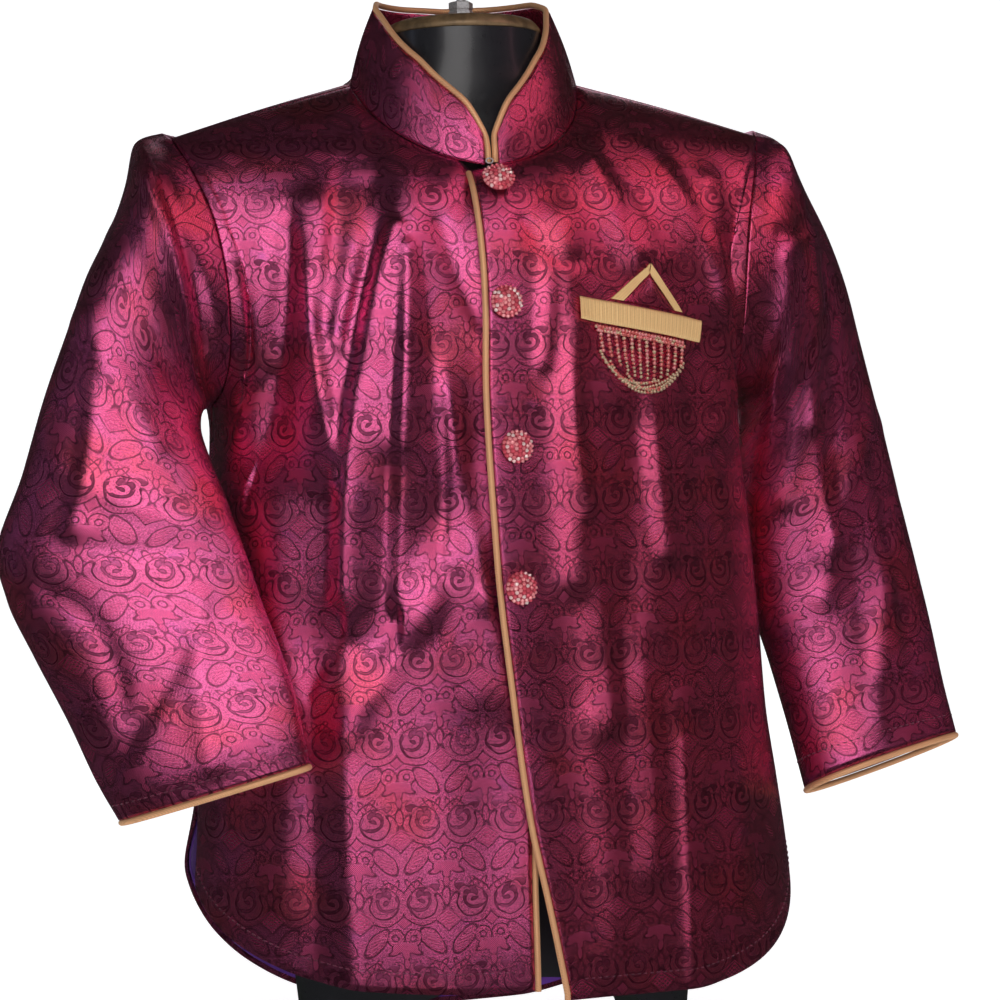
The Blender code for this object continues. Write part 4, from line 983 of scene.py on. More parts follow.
def brocade_finish(finish, cloth):
    """Shot silk brocade: dark warp, bright weft that flashes where light meets it."""
    x, y = finish.cloth_place()
    flat = finish.vector(x, y)
    motif = Damask(finish, x, y)
    drift = finish.noise(flat, 0.020, 2.0)
    cast = finish.noise(flat, 0.05, 3.0, 0.6)
    grain = finish.noise(flat, 0.9, 3.0, 0.75)

    rose, red = rgba(cloth.weft_rose), rgba(cloth.weft_red)
    violet, shade = rgba(cloth.weft_violet), rgba(cloth.warp_dark)
    weft = finish.mix(drift.mask(0.50, 0.68) * 0.75, rose, red)
    # painted sheen: the coat's left half, from just past the centre front to its side, is tinted
    # red to stand for the red hue that the shot silk shows there at its angle to the light
    across = finish.part(finish.object_place(), "X")
    painted_red_sheen = across.mask(-12.0, 30.0) * across.mask(148.0, 132.0)
    weft = finish.mix(painted_red_sheen * 0.55, weft, red)
    weft = finish.mix(cast.mask(0.56, 0.78) * 0.3, weft, violet)
    colour = finish.mix(motif.fill * 0.16, weft, red)
    colour = finish.mix(motif.dark * 0.82, colour, shade)
    colour = finish.mix(motif.outline * 0.75, colour, shade)
    colour = finish.mix(grain.mask(0.48, 0.70) * 0.55, colour, shade)
    colour = finish.mix(grain.mask(0.44, 0.30) * 0.5, colour, rgba(cloth.weft_flash))
    colour = finish.mix(motif.bright * 0.85, colour, rgba(cloth.weft_flash))
    facing = finish.node("ShaderNodeLayerWeight", Blend=0.3).outputs["Facing"]
    rim = Value(finish, facing).mask(0.5, 0.95) * 0.45
    colour = finish.mix(rim, colour, violet)

    rough = grain * 0.10 + 0.19 + motif.dark * 0.10 + motif.bright * 0.10
    warp = (x * 13.0).sine() * (y * 5.0).sine()
    weave = warp * 0.3 + motif.fill * 0.12 - motif.outline * 0.15 + motif.bright * 0.3
    weave = weave + grain * 0.8
    finish.set(Base_Color=colour, Roughness=rough, Metallic=0.95,
               Normal=finish.bump(weave, 0.00014, 0.6), Sheen_Weight=0.03,
               Sheen_Roughness=0.6, Sheen_Tint=rgba((0.75, 0.42, 0.55)))


def satin_finish(finish, cloth):
    """Satin, its threads drawn across and its shade drifting."""
    x, y = finish.cloth_place()
    grain = finish.noise(finish.vector(x * 0.25, y * 3.0), 1.0, 2.0)
    drift = finish.noise(finish.vector(x, y), 0.05, 2.0)
    colour = finish.mix(drift.mask(0.35, 0.7), rgba(cloth.lining), rgba(cloth.lining, 0.6))
    finish.set(Base_Color=colour, Roughness=grain * 0.15 + 0.3, Metallic=0.25,
               Normal=finish.bump(grain, 0.0001, 0.4), Sheen_Weight=0.3,
               Sheen_Roughness=0.4, Sheen_Tint=rgba((0.6, 0.4, 0.9)))


def cord_finish(finish, trim):
    """Gold satin binding rolled round a cord."""
    place = finish.object_place()
    thread = finish.node("ShaderNodeTexWave", {"bands_direction": "DIAGONAL"}, Vector=place,
                         Scale=0.55, Distortion=1.2, Detail=1.0)
    tone = Value(finish, thread.outputs["Fac"])
    worn = finish.noise(place, 0.06, 3.0)
    colour = finish.mix(tone * 0.45, rgba(trim.gold), rgba(trim.gold, 0.55))
    colour = finish.mix(worn.mask(0.5, 0.75) * 0.5, colour, rgba(trim.gold, 0.72))
    finish.set(Base_Color=colour, Roughness=tone * 0.1 + 0.42, Metallic=0.35,
               Normal=finish.bump(tone, 0.0001, 0.5), Sheen_Weight=0.2,
               Sheen_Tint=rgba((1.0, 0.85, 0.6)))


def ribbed_finish(finish, trim):
    """Gold ribbed strip of the welt and of the pocket square's border."""
    x, y = finish.cloth_place()
    rib = (x * 5.2).sine().mask(-0.8, 0.8)
    float_thread = (y * 9.0).sine().mask(-0.6, 0.9)
    grain = finish.noise(finish.vector(x, y), 0.9, 3.0, 0.7)
    colour = finish.mix(rib * 0.25 + float_thread * 0.15, rgba(trim.strip),
                        rgba(trim.strip, 0.62))
    colour = finish.mix(grain.mask(0.5, 0.8) * 0.5, colour, rgba(trim.strip, 0.75))
    finish.set(Base_Color=colour, Roughness=grain * 0.2 + 0.36, Metallic=0.25,
               Normal=finish.bump(rib * 0.7 + float_thread * 0.3, 0.00012, 0.6))


def stone_finish(finish, trim):
    """Foiled crystals: each stone holds its own tone, from deep red to pale pink; the palest are
    painted highlights that stand for glints, and the dome between the stones is painted shade.
    """
    tone = finish.part(finish.node("ShaderNodeUVMap", {"uv_map": "tone"}).outputs["UV"], "X")
    cloud = finish.noise(finish.object_place(), 1.1, 2.0)
    colour = finish.mix(tone.mask(0.34, 0.62), rgba(trim.crystal_deep), rgba(trim.crystal))
    # painted highlight: the palest stones, picked at random, are near white to stand for glints
    colour = finish.mix(tone.mask(0.80, 0.90) * 0.9, colour, rgba(trim.crystal_pale))
    colour = finish.mix(cloud.mask(0.5, 0.8) * 0.25, colour, rgba(trim.crystal_deep))
    # painted shade: the dome between the stones, whose tone is 0, is darkened to half the deep
    # crystal to stand for the shade in the crevices
    colour = finish.mix(tone.mask(0.1, 0.02) * 0.8, colour, rgba(trim.crystal_deep, 0.5))
    finish.set(Base_Color=colour, Roughness=cloud * 0.12 + 0.12, Metallic=0.3,
               Coat_Weight=0.2, Coat_Roughness=0.04, IOR=1.6)


def bead_finish(finish, colours, roughness, metallic):
    """Foiled glass: each bead takes its own tone."""
    cell = finish.node("ShaderNodeTexVoronoi", Vector=finish.object_place(), Scale=0.62)
    tone = Value(finish, finish.node(
        "ShaderNodeSeparateColor", Color=cell.outputs["Color"]).outputs["Red"])
    first, second, third = [rgba(colour) for colour in colours]
    colour = finish.mix(tone.mask(0.25, 0.6), first, second)
    colour = finish.mix(tone.mask(0.72, 0.82), colour, third)
    finish.set(Base_Color=colour, Roughness=tone * 0.12 + roughness, Metallic=metallic,
               Coat_Weight=0.7, Coat_Roughness=0.05, IOR=1.6)


def plastic_finish(finish, form):
    """Glossy moulded black plastic, faintly wavy and scuffed."""
    place = finish.object_place()
    wave = finish.noise(place, 0.02, 2.0)
    dust = finish.noise(place, 0.4, 4.0, 0.65)
    colour = finish.mix(dust.mask(0.55, 0.85) * 0.35, rgba(form.plastic),
                        rgba((0.05, 0.05, 0.06)))
    finish.set(Base_Color=colour, Roughness=dust * 0.16 + 0.22,
               Normal=finish.bump(wave, 0.004, 0.35), Specular_IOR_Level=0.6,
               Coat_Weight=0.25, Coat_Roughness=0.12)


def metal_finish(finish, bright, dull, grain, low, high, rough, metallic, relief):
    """Metal that goes from bright to dull where its grain is high."""
    colour = finish.mix(grain.mask(low, high), bright, dull)
    finish.set(Base_Color=colour, Roughness=grain * rough[0] + rough[1], Metallic=metallic,
               Normal=finish.bump(grain, *relief))


def bronze_finish(finish, form):
    streak = finish.noise(finish.object_place(), 0.12, 4.0, 0.6)
    metal_finish(finish, rgba(form.rim), rgba(form.rim, 0.45), streak, 0.35, 0.7, (0.2, 0.3),
                 0.3, (0.0002, 0.4))


def steel_finish(finish, form):
    grain = finish.noise(finish.object_place(), 1.2, 3.0)
    metal_finish(finish, rgba((0.72, 0.73, 0.75)), rgba((0.5, 0.51, 0.53)), grain, 0.4, 0.8,
                 (0.15, 0.28), 0.6, (0.0001, 0.3))


def thread_finish(finish, cloth):
    twist = finish.noise(finish.object_place(), 3.0, 1.0)
    colour = finish.mix(twist, rgba(cloth.thread), rgba(cloth.thread, 0.55))
    finish.set(Base_Color=colour, Roughness=twist * 0.2 + 0.45,
               Normal=finish.bump(twist, 0.00005, 0.4), Sheen_Weight=0.3)


# -------------------------------------------------------------- mesh helpers

WELD = 2e-6             # points closer than this, in metres, become one

def lay_sheet(name, surface, across, up, flip=False, places=None, closed=False):
    """A square grid laid on a surface, with the flat cloth's places as its UV map."""
    shape = bmesh.new()
    bmesh.ops.create_grid(shape, x_segments=len(across) - 1, y_segments=len(up) - 1, size=0.5)
    data = bpy.data.meshes.new(name)
    shape.to_mesh(data)
    shape.free()
    flat = np.empty(len(data.vertices) * 3, np.float32)
    data.vertices.foreach_get("co", flat)
    flat = flat.reshape(-1, 3).astype(float) + 0.5
    u = np.asarray(across)[np.rint(flat[:, 0] * (len(across) - 1)).astype(int)]
    v = np.asarray(up)[np.rint(flat[:, 1] * (len(up) - 1)).astype(int)]
    points = surface(u, v)
    data.vertices.foreach_set("co", points.astype(np.float32).ravel())
    if places is not None:
        corner = np.empty(len(data.loops), np.int32)
        data.loops.foreach_get("vertex_index", corner)
        layer = data.uv_layers.new(name="cloth")
        layer.data.foreach_set("uv", places(points, u, v)[corner].astype(np.float32).ravel())
    shape = bmesh.new()
    shape.from_mesh(data)
    if closed:
        bmesh.ops.remove_doubles(shape, verts=shape.verts, dist=WELD)
    if flip:
        bmesh.ops.reverse_faces(shape, faces=shape.faces)
    for face in shape.faces:
        face.smooth = True
    shape.to_mesh(data)
    shape.free()
    return data


def even(cells):
    """That many even cells from 0 to 1."""
    return steps(0.0, cells, 1.0)


def steps(*stops):
    """Values from stop to stop; between two stops stands the number of cells."""
    values = [np.array([float(stops[0])])]
    for low, cells, high in zip(stops[::2], stops[1::2], stops[2::2]):
        values.append(np.linspace(low, high, max(int(cells), 1) + 1)[1:])
    return np.concatenate(values)


def cord(name, points, radius, closed=False, sides=3):
    """A round cord through the points, as a curve."""
    curve = bpy.data.curves.new(name, "CURVE")
    curve.dimensions, curve.bevel_depth, curve.bevel_resolution = "3D", radius, sides
    curve.use_fill_caps = not closed
    spline = curve.splines.new("POLY")
    spline.points.add(len(points) - 1)
    rows = np.ones((len(points), 4), np.float32)
    rows[:, :3] = points
    spline.points.foreach_set("co", rows.ravel())
    spline.use_cyclic_u = closed
    spline.use_smooth = True
    return curve


def edge_line(surface, u, v, du, dv, wall, flip, away):
    """Points just outside a sheet's edge, in the middle of its wall."""
    edge = surface(u, v)
    along = unit(np.gradient(edge, axis=0))
    out = unit(edge - surface(u + du * 0.01, v + dv * 0.01))
    out = unit(out - along * dots(out, along))
    return edge + out * (away * MM) - normals_of(surface, u, v, flip) * (wall / 2.0 * MM)


def seat(place, way, axis="Z"):
    """The matrix that moves a thing to a place and turns its axis along a way."""
    turn = Vector(way).to_track_quat(axis, "Y").to_matrix().to_4x4()
    return Matrix.Translation(Vector(place)) @ turn


def lathe(shape, profile, sides):
    """Turns a profile of radius and height, in millimetres, once round z."""
    verts = [shape.verts.new((r * MM, 0.0, z * MM)) for r, z in profile]
    edges = [shape.edges.new(pair) for pair in zip(verts, verts[1:])]
    bmesh.ops.spin(shape, geom=[*verts, *edges], axis=(0, 0, 1), cent=(0, 0, 0),
                   angle=2.0 * math.pi, steps=sides, use_merge=True, use_duplicate=False)
    bmesh.ops.remove_doubles(shape, verts=shape.verts, dist=WELD)
    bmesh.ops.recalc_face_normals(shape, faces=shape.faces)


def finished(shape, name, smooth=True):
    for face in shape.faces:
        face.smooth = smooth
    data = bpy.data.meshes.new(name)
    shape.to_mesh(data)
    shape.free()
    return data


def coat():
    return bpy.context.scene.sherwani


# Each finish: the slot that it fills, the settings that it takes and what draws it.
FINISHES = {
    "wine_brocade": ("brocade", "cloth", brocade_finish),
    "violet_satin": ("lining_satin", "cloth", satin_finish),
    "wine_thread": ("brocade", "cloth", thread_finish),
    "gold_cord": ("gold_cord", "trim", cord_finish),
    "gold_strip": ("gold_strip", "trim", ribbed_finish),
    "pink_crystal": ("pink_crystal", "trim", stone_finish),
    "red_beads": ("beads", "trim", lambda finish, trim: bead_finish(
        finish, (trim.bead, trim.crystal, trim.bead_pale), 0.2, 0.5)),
    "pale_beads": ("beads", "trim", lambda finish, trim: bead_finish(
        finish, (trim.bead_pale, trim.bead_pale, trim.bead), 0.22, 0.6)),
    "black_plastic": ("black_plastic", "form", plastic_finish),
    "bronze_rim": ("bronze_rim", "form", bronze_finish),
    "bright_steel": ("steel", "form", steel_finish),
}


def add_piece(name, data, kind, *nodes):
    """Puts a mesh or curve in the scene with a finish, in place of its nodes."""
    thing = bpy.data.objects.new(name, data)
    bpy.context.scene.collection.objects.link(thing)
    slot_name, group, dress = FINISHES[kind]
    material = bpy.data.materials.get(FINISH_NAME + kind)
    if material is None:
        finish = Finish(kind)
        dress(finish, getattr(coat(), group))
        material = finish.material
    data.materials.clear()
    data.materials.append(material)
    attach(thing, "root")
    if nodes:
        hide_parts(*nodes)
    return thing


def add_cloth(name, node, data, wall, kind="wine_brocade"):
    """Puts a laid sheet in the scene with its wall, in place of its node."""
    piece = add_piece(name, data, kind, node)
    solid = piece.modifiers.new("wall", "SOLIDIFY")
    solid.thickness, solid.offset = wall, -1.0
    return piece


# ---------------------------------------------------------------- the pieces

class PieceOperator:
    """What the piece operators share: they need the scene's own settings."""
    bl_options = {"REGISTER", "UNDO"}

    @classmethod
    def poll(cls, context):
        return hasattr(context.scene, "sherwani")

    def cells(self, count):
        return max(int(count * coat().cloth.fineness), 4)


class SHERWANI_OT_fronts(PieceOperator, bpy.types.Operator):
    """Lay the two fronts, the left lapped over the right"""
    bl_idname = "sherwani.fronts"
    bl_label = "Fronts"

    def execute(self, context):
        for side, name in ((LEFT, "left"), (RIGHT, "right")):
            across = steps(0.0, self.cells(42), FRONT_NECK, self.cells(30), SHOULDER_TIP,
                           self.cells(44), 1.0)
            up = steps(0.0, self.cells(96), SKIRT_SHARE, self.cells(64), 1.0)
            data = lay_sheet(f"front_{name}_cloth", panel_surface("front", side), across, up,
                             side == RIGHT, lambda points, u, v: cloth_places("front", points))
            piece = add_cloth(f"front_{name}_cloth", f"front_{name}", data, coat().cloth.wall)
        return {"FINISHED"}


class SHERWANI_OT_back(PieceOperator, bpy.types.Operator):
    """Lay the back in one piece, and the lining inside its skirt"""
    bl_idname = "sherwani.back"
    bl_label = "Back and Lining"

    def execute(self, context):
        arm, shoulder, neck = self.cells(34), self.cells(24), self.cells(26)
        half = steps(0.0, neck, BACK_NECK, shoulder, SHOULDER_TIP, arm, 1.0)
        across = np.concatenate([0.5 - half[::-1] / 2.0, 0.5 + half[1:] / 2.0])
        up = steps(0.0, self.cells(96), SKIRT_SHARE, self.cells(60), 1.0)

        def flat(points, u, v):
            return cloth_places("back", points)

        data = lay_sheet("back_cloth", whole_back(0.0), across, up, True, flat)
        piece = add_cloth("back_cloth", "back", data, coat().cloth.wall)

        inner = across[(across > 0.01) & (across < 0.99)][::2]
        up = steps(0.006, self.cells(50), 0.40)
        data = lay_sheet("lining_cloth", whole_back(-2.0), inner, up, True, flat)
        piece = add_cloth("lining_cloth", "back_lining", data, 0.8 * MM, "violet_satin")
        return {"FINISHED"}


class SHERWANI_OT_sleeves(PieceOperator, bpy.types.Operator):
    """Hang the two sleeves from their armholes"""
    bl_idname = "sherwani.sleeves"
    bl_label = "Sleeves"

    def execute(self, context):
        for side, name, area in ((LEFT, "left", 0.0615), (RIGHT, "right", 0.069)):
            whole = sleeve_surface(side)
            round_cells, along_cells = self.cells(128), self.cells(136)

            def from_underarm(u, v, whole=whole):
                return whole((u + ARM_TURN) % 1.0, v)

            def unrolled(points, u, v, rows=along_cells + 1, columns=round_cells + 1):
                rings = points.reshape(rows, columns, 3)
                girth = np.linalg.norm(np.diff(rings, axis=1), axis=-1).sum(axis=1)
                drop = np.linalg.norm(np.diff(rings, axis=0), axis=-1).mean(axis=1)
                down = np.concatenate([[0.0], np.cumsum(drop)])
                place = np.stack([(u.reshape(rows, columns) - 0.5) * girth[:, None],
                                  np.repeat(-down[:, None], columns, axis=1)], axis=-1)
                return place.reshape(-1, 2)

            data = lay_sheet(f"sleeve_{name}_cloth", from_underarm, even(round_cells),
                             even(along_cells), side == RIGHT, unrolled, closed=True)
            piece = add_cloth(f"sleeve_{name}_cloth", f"sleeve_{name}", data, coat().cloth.wall)
        return {"FINISHED"}


class SHERWANI_OT_collar(PieceOperator, bpy.types.Operator):
    """Stand the collar on the neck seam"""
    bl_idname = "sherwani.collar"
    bl_label = "Stand Collar"

    def execute(self, context):
        half = steps(0.0, self.cells(14), 0.1, self.cells(30), 0.5, self.cells(30), 1.0) / 2.0
        across = np.concatenate([half, 1.0 - half[-2::-1]])

        def unrolled(points, u, v):
            ring = collar_surface(across, np.zeros_like(across))
            run = np.linalg.norm(np.diff(ring, axis=0), axis=-1)
            place = np.interp(u, across, np.concatenate([[0.0], np.cumsum(run)]))
            return np.stack([place, v * 0.036], axis=-1)

        data = lay_sheet("collar_cloth", collar_surface, across, even(self.cells(20)), False,
                         unrolled)
        piece = add_cloth("collar_cloth", "collar", data, COLLAR_WALL * MM)
        return {"FINISHED"}


class SHERWANI_OT_piping(PieceOperator, bpy.types.Operator):
    """Run the gold piping round the collar, down the fronts and round the cuffs"""
    bl_idname = "sherwani.piping"
    bl_label = "Gold Piping"

    def execute(self, context):
        radius = coat().trim.cord_radius
        away = radius / MM + PIPING_GAP
        wall = coat().cloth.wall / MM

        def run(name, line, closed=False):
            add_piece(name, cord(name, line, radius, closed), "gold_cord",
                      name.replace("_cord", ""))

        rise = steps(0.08, 12, 0.985)
        zeros, ones = np.zeros_like(rise), np.ones_like(rise)
        top = steps(0.004, 12, 0.06, 150, 0.94, 12, 0.996)
        u = np.concatenate([zeros, top, ones])
        v = np.concatenate([rise, np.ones_like(top), rise[::-1]])
        du = np.concatenate([ones, np.zeros_like(top), -ones])
        dv = np.concatenate([zeros, -np.ones_like(top), zeros])
        run("piping_collar_cord", self.rounded(edge_line(
            collar_surface, u, v, du, dv, COLLAR_WALL, False, away)))
        for side, name in ((LEFT, "left"), (RIGHT, "right")):
            v = steps(0.0, 150, 0.995)
            line = edge_line(panel_surface("front", side), 0.0 * v, v, 1.0 + 0.0 * v, 0.0 * v,
                             wall, side == RIGHT, away)
            run(f"piping_front_{name}_cord", line)
            u = steps(0.0, 120, 1.0)[:-1]
            line = edge_line(sleeve_surface(side), u, 1.0 + 0.0 * u, 0.0 * u, -1.0 + 0.0 * u,
                             wall, side == RIGHT, away)
            run(f"piping_cuff_{name}_cord", line, closed=True)
        return {"FINISHED"}

    @staticmethod
    def rounded(line):
        """Eases the two corners, where the cord turns from the end to the top."""
        for _ in range(2):
            line[1:-1] = (line[:-2] + line[1:-1] * 2.0 + line[2:]) / 4.0
        return line


class SHERWANI_OT_buttons(PieceOperator, bpy.types.Operator):
    """Set the four crystal-paved domed buttons"""
    bl_idname = "sherwani.buttons"
    bl_label = "Crystal Buttons"

    RINGS = ((0.0, 1), (2.1, 6), (4.1, 12), (5.9, 17), (7.2, 20))
    DOME = ((0.0, 7.1), (1.7, 6.95), (3.4, 6.5), (5.3, 5.5), (6.6, 4.4), (7.4, 3.4), (7.7, 2.7))
    SHANK = ((7.3, 2.0), (6.4, 1.7), (2.6, 1.5), (2.6, 0.0), (0.0, 0.0))
    STONE = (1.04, 0.42, 0.9)       # radius at its foot and at its flat, and its height

    def execute(self, context):
        panel = PanelMap("front", LEFT)
        places, normals = panel.at(BUTTONS["x"], BUTTONS["z"], 0.4)
        tones = np.random.default_rng(7)
        dome, (foot, flat, tall) = Curve(*np.array(self.DOME).T), self.STONE
        for i, (place, normal) in enumerate(zip(places, normals)):
            shape = bmesh.new()
            tone = shape.loops.layers.uv.new("tone")
            lathe(shape, (*self.DOME, *self.SHANK), 32)
            for j, (radius, count) in enumerate(self.RINGS):
                # each ring leans with the dome under it
                slope = float(dome(radius + 0.3) - dome(max(radius - 0.3, 0.0))) / 0.6
                lean = math.atan(-slope) if radius else 0.0
                for k in range(count):
                    angle = 2.0 * math.pi * (k + 0.5 * (j % 2)) / count
                    spot = (Matrix.Rotation(angle, 4, "Z")
                            @ Matrix.Translation(Vector((radius, 0.0, float(dome(radius)))) * MM)
                            @ Matrix.Rotation(lean, 4, "Y") @ Matrix.Translation((0, 0, 0.3 * MM)))
                    made = bmesh.ops.create_cone(
                        shape, cap_ends=True, cap_tris=False, segments=8, radius1=foot * MM,
                        radius2=flat * MM, depth=tall * MM, matrix=spot)
                    # stones take a tone from 0.1 up; the dome keeps 0, which its finish darkens as
                    # painted shade between the stones
                    value = tones.uniform(0.1, 1.0)
                    for face in {f for vert in made["verts"] for f in vert.link_faces}:
                        for corner in face.loops:
                            corner[tone].uv = (value, 0.5)
            bmesh.ops.transform(shape, verts=shape.verts, matrix=seat(place, normal))
            name = f"button_{i + 1}_stones"
            add_piece(name, finished(shape, name, smooth=False), "pink_crystal",
                      f"button_{i + 1}")
        return {"FINISHED"}


def corner_patch(panel, corners, height, wide, tall):
    """A surface over four x, z corners of the panel, with its own height profile."""
    a, b, c, d = [np.array(corner, float) for corner in corners]

    def surface(u, v):
        u2, v2 = u[:, None], v[:, None]
        spot = (a * (1 - u2) + b * u2) * (1 - v2) + (d * (1 - u2) + c * u2) * v2
        return panel.at(spot[:, 0], spot[:, 1], height(u, v))[0]

    def places(points, u, v):
        return np.stack([u * wide, v * tall], axis=-1) * MM

    return surface, places


class SHERWANI_OT_pocket(PieceOperator, bpy.types.Operator):
    """Make the ribbed welt and the bordered square above it"""
    bl_idname = "sherwani.pocket"
    bl_label = "Pocket"

    def execute(self, context):
        panel = PanelMap("front", LEFT)

        def ribbed(ribs, thick):
            def height(u, v):
                edge = np.minimum(np.minimum(v, 1.0 - v) * 6.0, 1.0)
                rib = 0.5 + 0.5 * np.cos(2.0 * math.pi * ribs * u)
                return 0.5 + thick * (0.72 + 0.28 * np.sqrt(edge)) - 0.16 * rib
            return height

        self.strip("welt_strip", panel, WELT, ribbed(32, 1.6), 66.0, 11.2, 192, 12,
                   "pocket_welt", (0.066, 0.0115), 0.00072)
        left, right, tip = [np.array(corner) for corner in SQUARE]
        middle = (left + right + tip) / 3.0
        inner_tip = middle + (tip - middle) * 0.59 + (0.0, 0.6)
        # where the inner edges of the two borders meet the welt
        floor_left, floor_right = left + (right - left) * 0.17, left + (right - left) * 0.89
        for name, corners, area, shift in (
                ("left", (left, floor_left, inner_tip, tip), 0.00014, -0.25),
                ("right", (floor_right, right, tip, inner_tip), 0.00011, 0.25)):
            self.strip(f"border_{name}_strip", panel, [c + (shift, 0.4) for c in corners],
                       ribbed(0.0, 1.1), 5.0, 30.0, 12, 60, f"pocket_square_border_{name}",
                       (0.010, 0.031), area)
        gap = np.full(2, 0.45)
        near_tip = inner_tip - (0.0, 1.4)
        corners = (floor_left + gap, floor_right + gap * (-1, 1), near_tip + (0.25, 0.0),
                   near_tip - (0.25, 0.0))

        def crowned(u, v):
            return 0.9 + 0.5 * np.sin(np.pi * u) * np.sin(np.pi * np.minimum(v, 1.0))

        surface, places = corner_patch(panel, corners, crowned, 27.0, 18.0)
        data = lay_sheet("square_cloth", surface, even(40), even(30), False, places)
        piece = add_cloth("square_cloth", "pocket_square", data, 0.5 * MM)
        return {"FINISHED"}

    def strip(self, name, panel, corners, height, wide, tall, across, up, node, flat, area):
        """A gold strip over four corners: its height, its size and cells; its cut, flat and area,
        is not used.
        """
        surface, places = corner_patch(panel, corners, height, wide, tall)
        data = lay_sheet(name, surface, even(across), even(up), False, places)
        piece = add_cloth(name, node, data, 0.9 * MM, "gold_strip")


class SHERWANI_OT_fringe(PieceOperator, bpy.types.Operator):
    """String the beads of the pocket's fringe"""
    bl_idname = "sherwani.fringe"
    bl_label = "Bead Fringe"

    DROPS = (12.0, 15.0, 17.5, 20.0, 21.5, 22.5, 22.5, 21.5, 20.0, 17.5, 15.0, 12.0)
    SWAGS = ((43.5, 337.0, 55.5, 323.5, 73.0, 322.5), (48.5, 332.0, 62.0, 319.5, 82.0, 325.5),
             (57.0, 326.0, 71.0, 318.5, 88.5, 331.0), (44.5, 334.0, 66.0, 317.0, 88.0, 329.0))

    PITCH, LIFT = 1.9, 1.35         # from bead to bead down a string, and off the cloth
    HEAD_BEADS, SWAG_BEADS = 28, 27
    PALE_FROM = 12.0                # how far down a string its pale beads start

    def execute(self, context):
        panel = PanelMap("front", LEFT)
        a, b = [np.array(corner) for corner in FRINGE_HEAD]
        upper, lower = [], []
        for i, drop in enumerate(self.DROPS):
            share = (i + 0.5) / len(self.DROPS)
            root = a + (b - a) * share
            t = (np.arange(int(drop / self.PITCH)) + 0.2) * self.PITCH
            bow = 2.2 * (0.5 - share) * (t / 10.0) ** 2
            for place, fall in zip(np.stack([root[0] + bow, root[1] - t], axis=-1), t):
                (upper if fall < self.PALE_FROM else lower).append(place)
        for row in range(2):
            t = (np.arange(self.HEAD_BEADS) + 0.5 * row) / self.HEAD_BEADS
            upper.extend(a + (b - a) * t[:, None] + np.array([0.0, 1.3 - 1.7 * row]))
        t = np.linspace(0.0, 1.0, self.SWAG_BEADS)
        for swag in self.SWAGS:
            lower.extend(np.stack([bent(t, *swag[0::2]), bent(t, *swag[1::2])], axis=-1))
        self.beads("fringe_upper_beads", panel, upper, 1.12, "red_beads")
        self.beads("fringe_lower_beads", panel, lower, 0.95, "pale_beads")
        return {"FINISHED"}

    def beads(self, name, panel, places, radius, finish):
        places = np.array(places)
        shape = bmesh.new()
        for centre, normal in zip(*panel.at(places[:, 0], places[:, 1], self.LIFT)):
            bmesh.ops.create_icosphere(shape, subdivisions=1, radius=radius * MM,
                                       matrix=seat(centre, normal))
        add_piece(name, finished(shape, name), finish, "bead_fringe")


class SHERWANI_OT_stitching(PieceOperator, bpy.types.Operator):
    """Sew the top-stitching above the hems, and the wire eye at the collar's foot"""
    bl_idname = "sherwani.stitching"
    bl_label = "Stitching and Eye"

    INSET = 9.5             # of the stitches from the hem
    PITCH, LONG, SLIM = 3.4, 2.3, 0.6

    def execute(self, context):
        shape = bmesh.new()
        for side in (LEFT, RIGHT):
            u = steps(0.03, 400, 0.97)
            top = TOP["front"]
            room = top.base(u) - HEM_LINE["front", side](top.phi(u))
            self.row(shape, panel_surface("front", side), u, self.INSET / room * SKIRT_SHARE,
                     side == RIGHT)
            u = steps(0.01, 300, 0.99)
            self.row(shape, sleeve_surface(side), u, 0.972 + 0.0 * u, side == RIGHT)
        u = steps(0.03, 500, 0.97)
        share = np.abs(2.0 * u - 1.0)
        top = TOP["back"]
        low = np.where(u < 0.5, HEM_LINE["back", RIGHT](top.phi(share)),
                       HEM_LINE["back", LEFT](top.phi(share)))
        room = top.base(share) - low
        self.row(shape, whole_back(0.0), u, self.INSET / room * SKIRT_SHARE, True)
        add_piece("hem_stitches", finished(shape, "hem_stitches"), "wine_thread")
        self.wire_eye()
        return {"FINISHED"}

    def row(self, shape, surface, u, v, flip):
        """One row of stitches, each a slim bead sunk into the cloth."""
        line = surface(u, v)
        run = np.concatenate([[0.0], np.cumsum(np.linalg.norm(np.diff(line, axis=0), axis=-1))])
        marks = np.arange(self.PITCH, run[-1] / MM - self.PITCH, self.PITCH) * MM
        uu, vv = np.interp(marks, run, u), np.interp(marks, run, v)
        normals = normals_of(surface, uu, vv, flip)
        centres = surface(uu, vv) + normals * (0.12 * MM)
        before, after = [np.stack([np.interp(marks + shift * MM, run, axis) for axis in line.T], -1)
                         for shift in (-0.4, 0.4)]
        ahead = unit(after - before)
        sides = unit(np.cross(normals, ahead))
        slim = Matrix.Diagonal((self.LONG * MM / 2.0, *[self.SLIM * MM / 2.0] * 2, 1.0))
        for centre, way, side in zip(centres, ahead, sides):
            axes = np.stack([way, side, np.cross(way, side)], axis=-1)
            matrix = Matrix.Translation(Vector(centre)) @ Matrix(axes.tolist()).to_4x4() @ slim
            bmesh.ops.create_icosphere(shape, subdivisions=1, radius=1.0, matrix=matrix)

    def wire_eye(self):
        """Bent wire at the foot of the collar's opening."""
        end = collar_surface(np.array([1.0]), np.array([0.12]))[0]
        turns = np.linspace(0.0, 2.0 * math.pi, 25)
        ring = end + np.stack([2.0 + 1.7 * np.cos(turns), -1.2 + 0.0 * turns,
                               1.2 * np.sin(turns)], axis=-1) * MM
        add_piece("collar_eye", cord("collar_eye", ring[:-1], 0.35 * MM, closed=True),
                  "bright_steel")


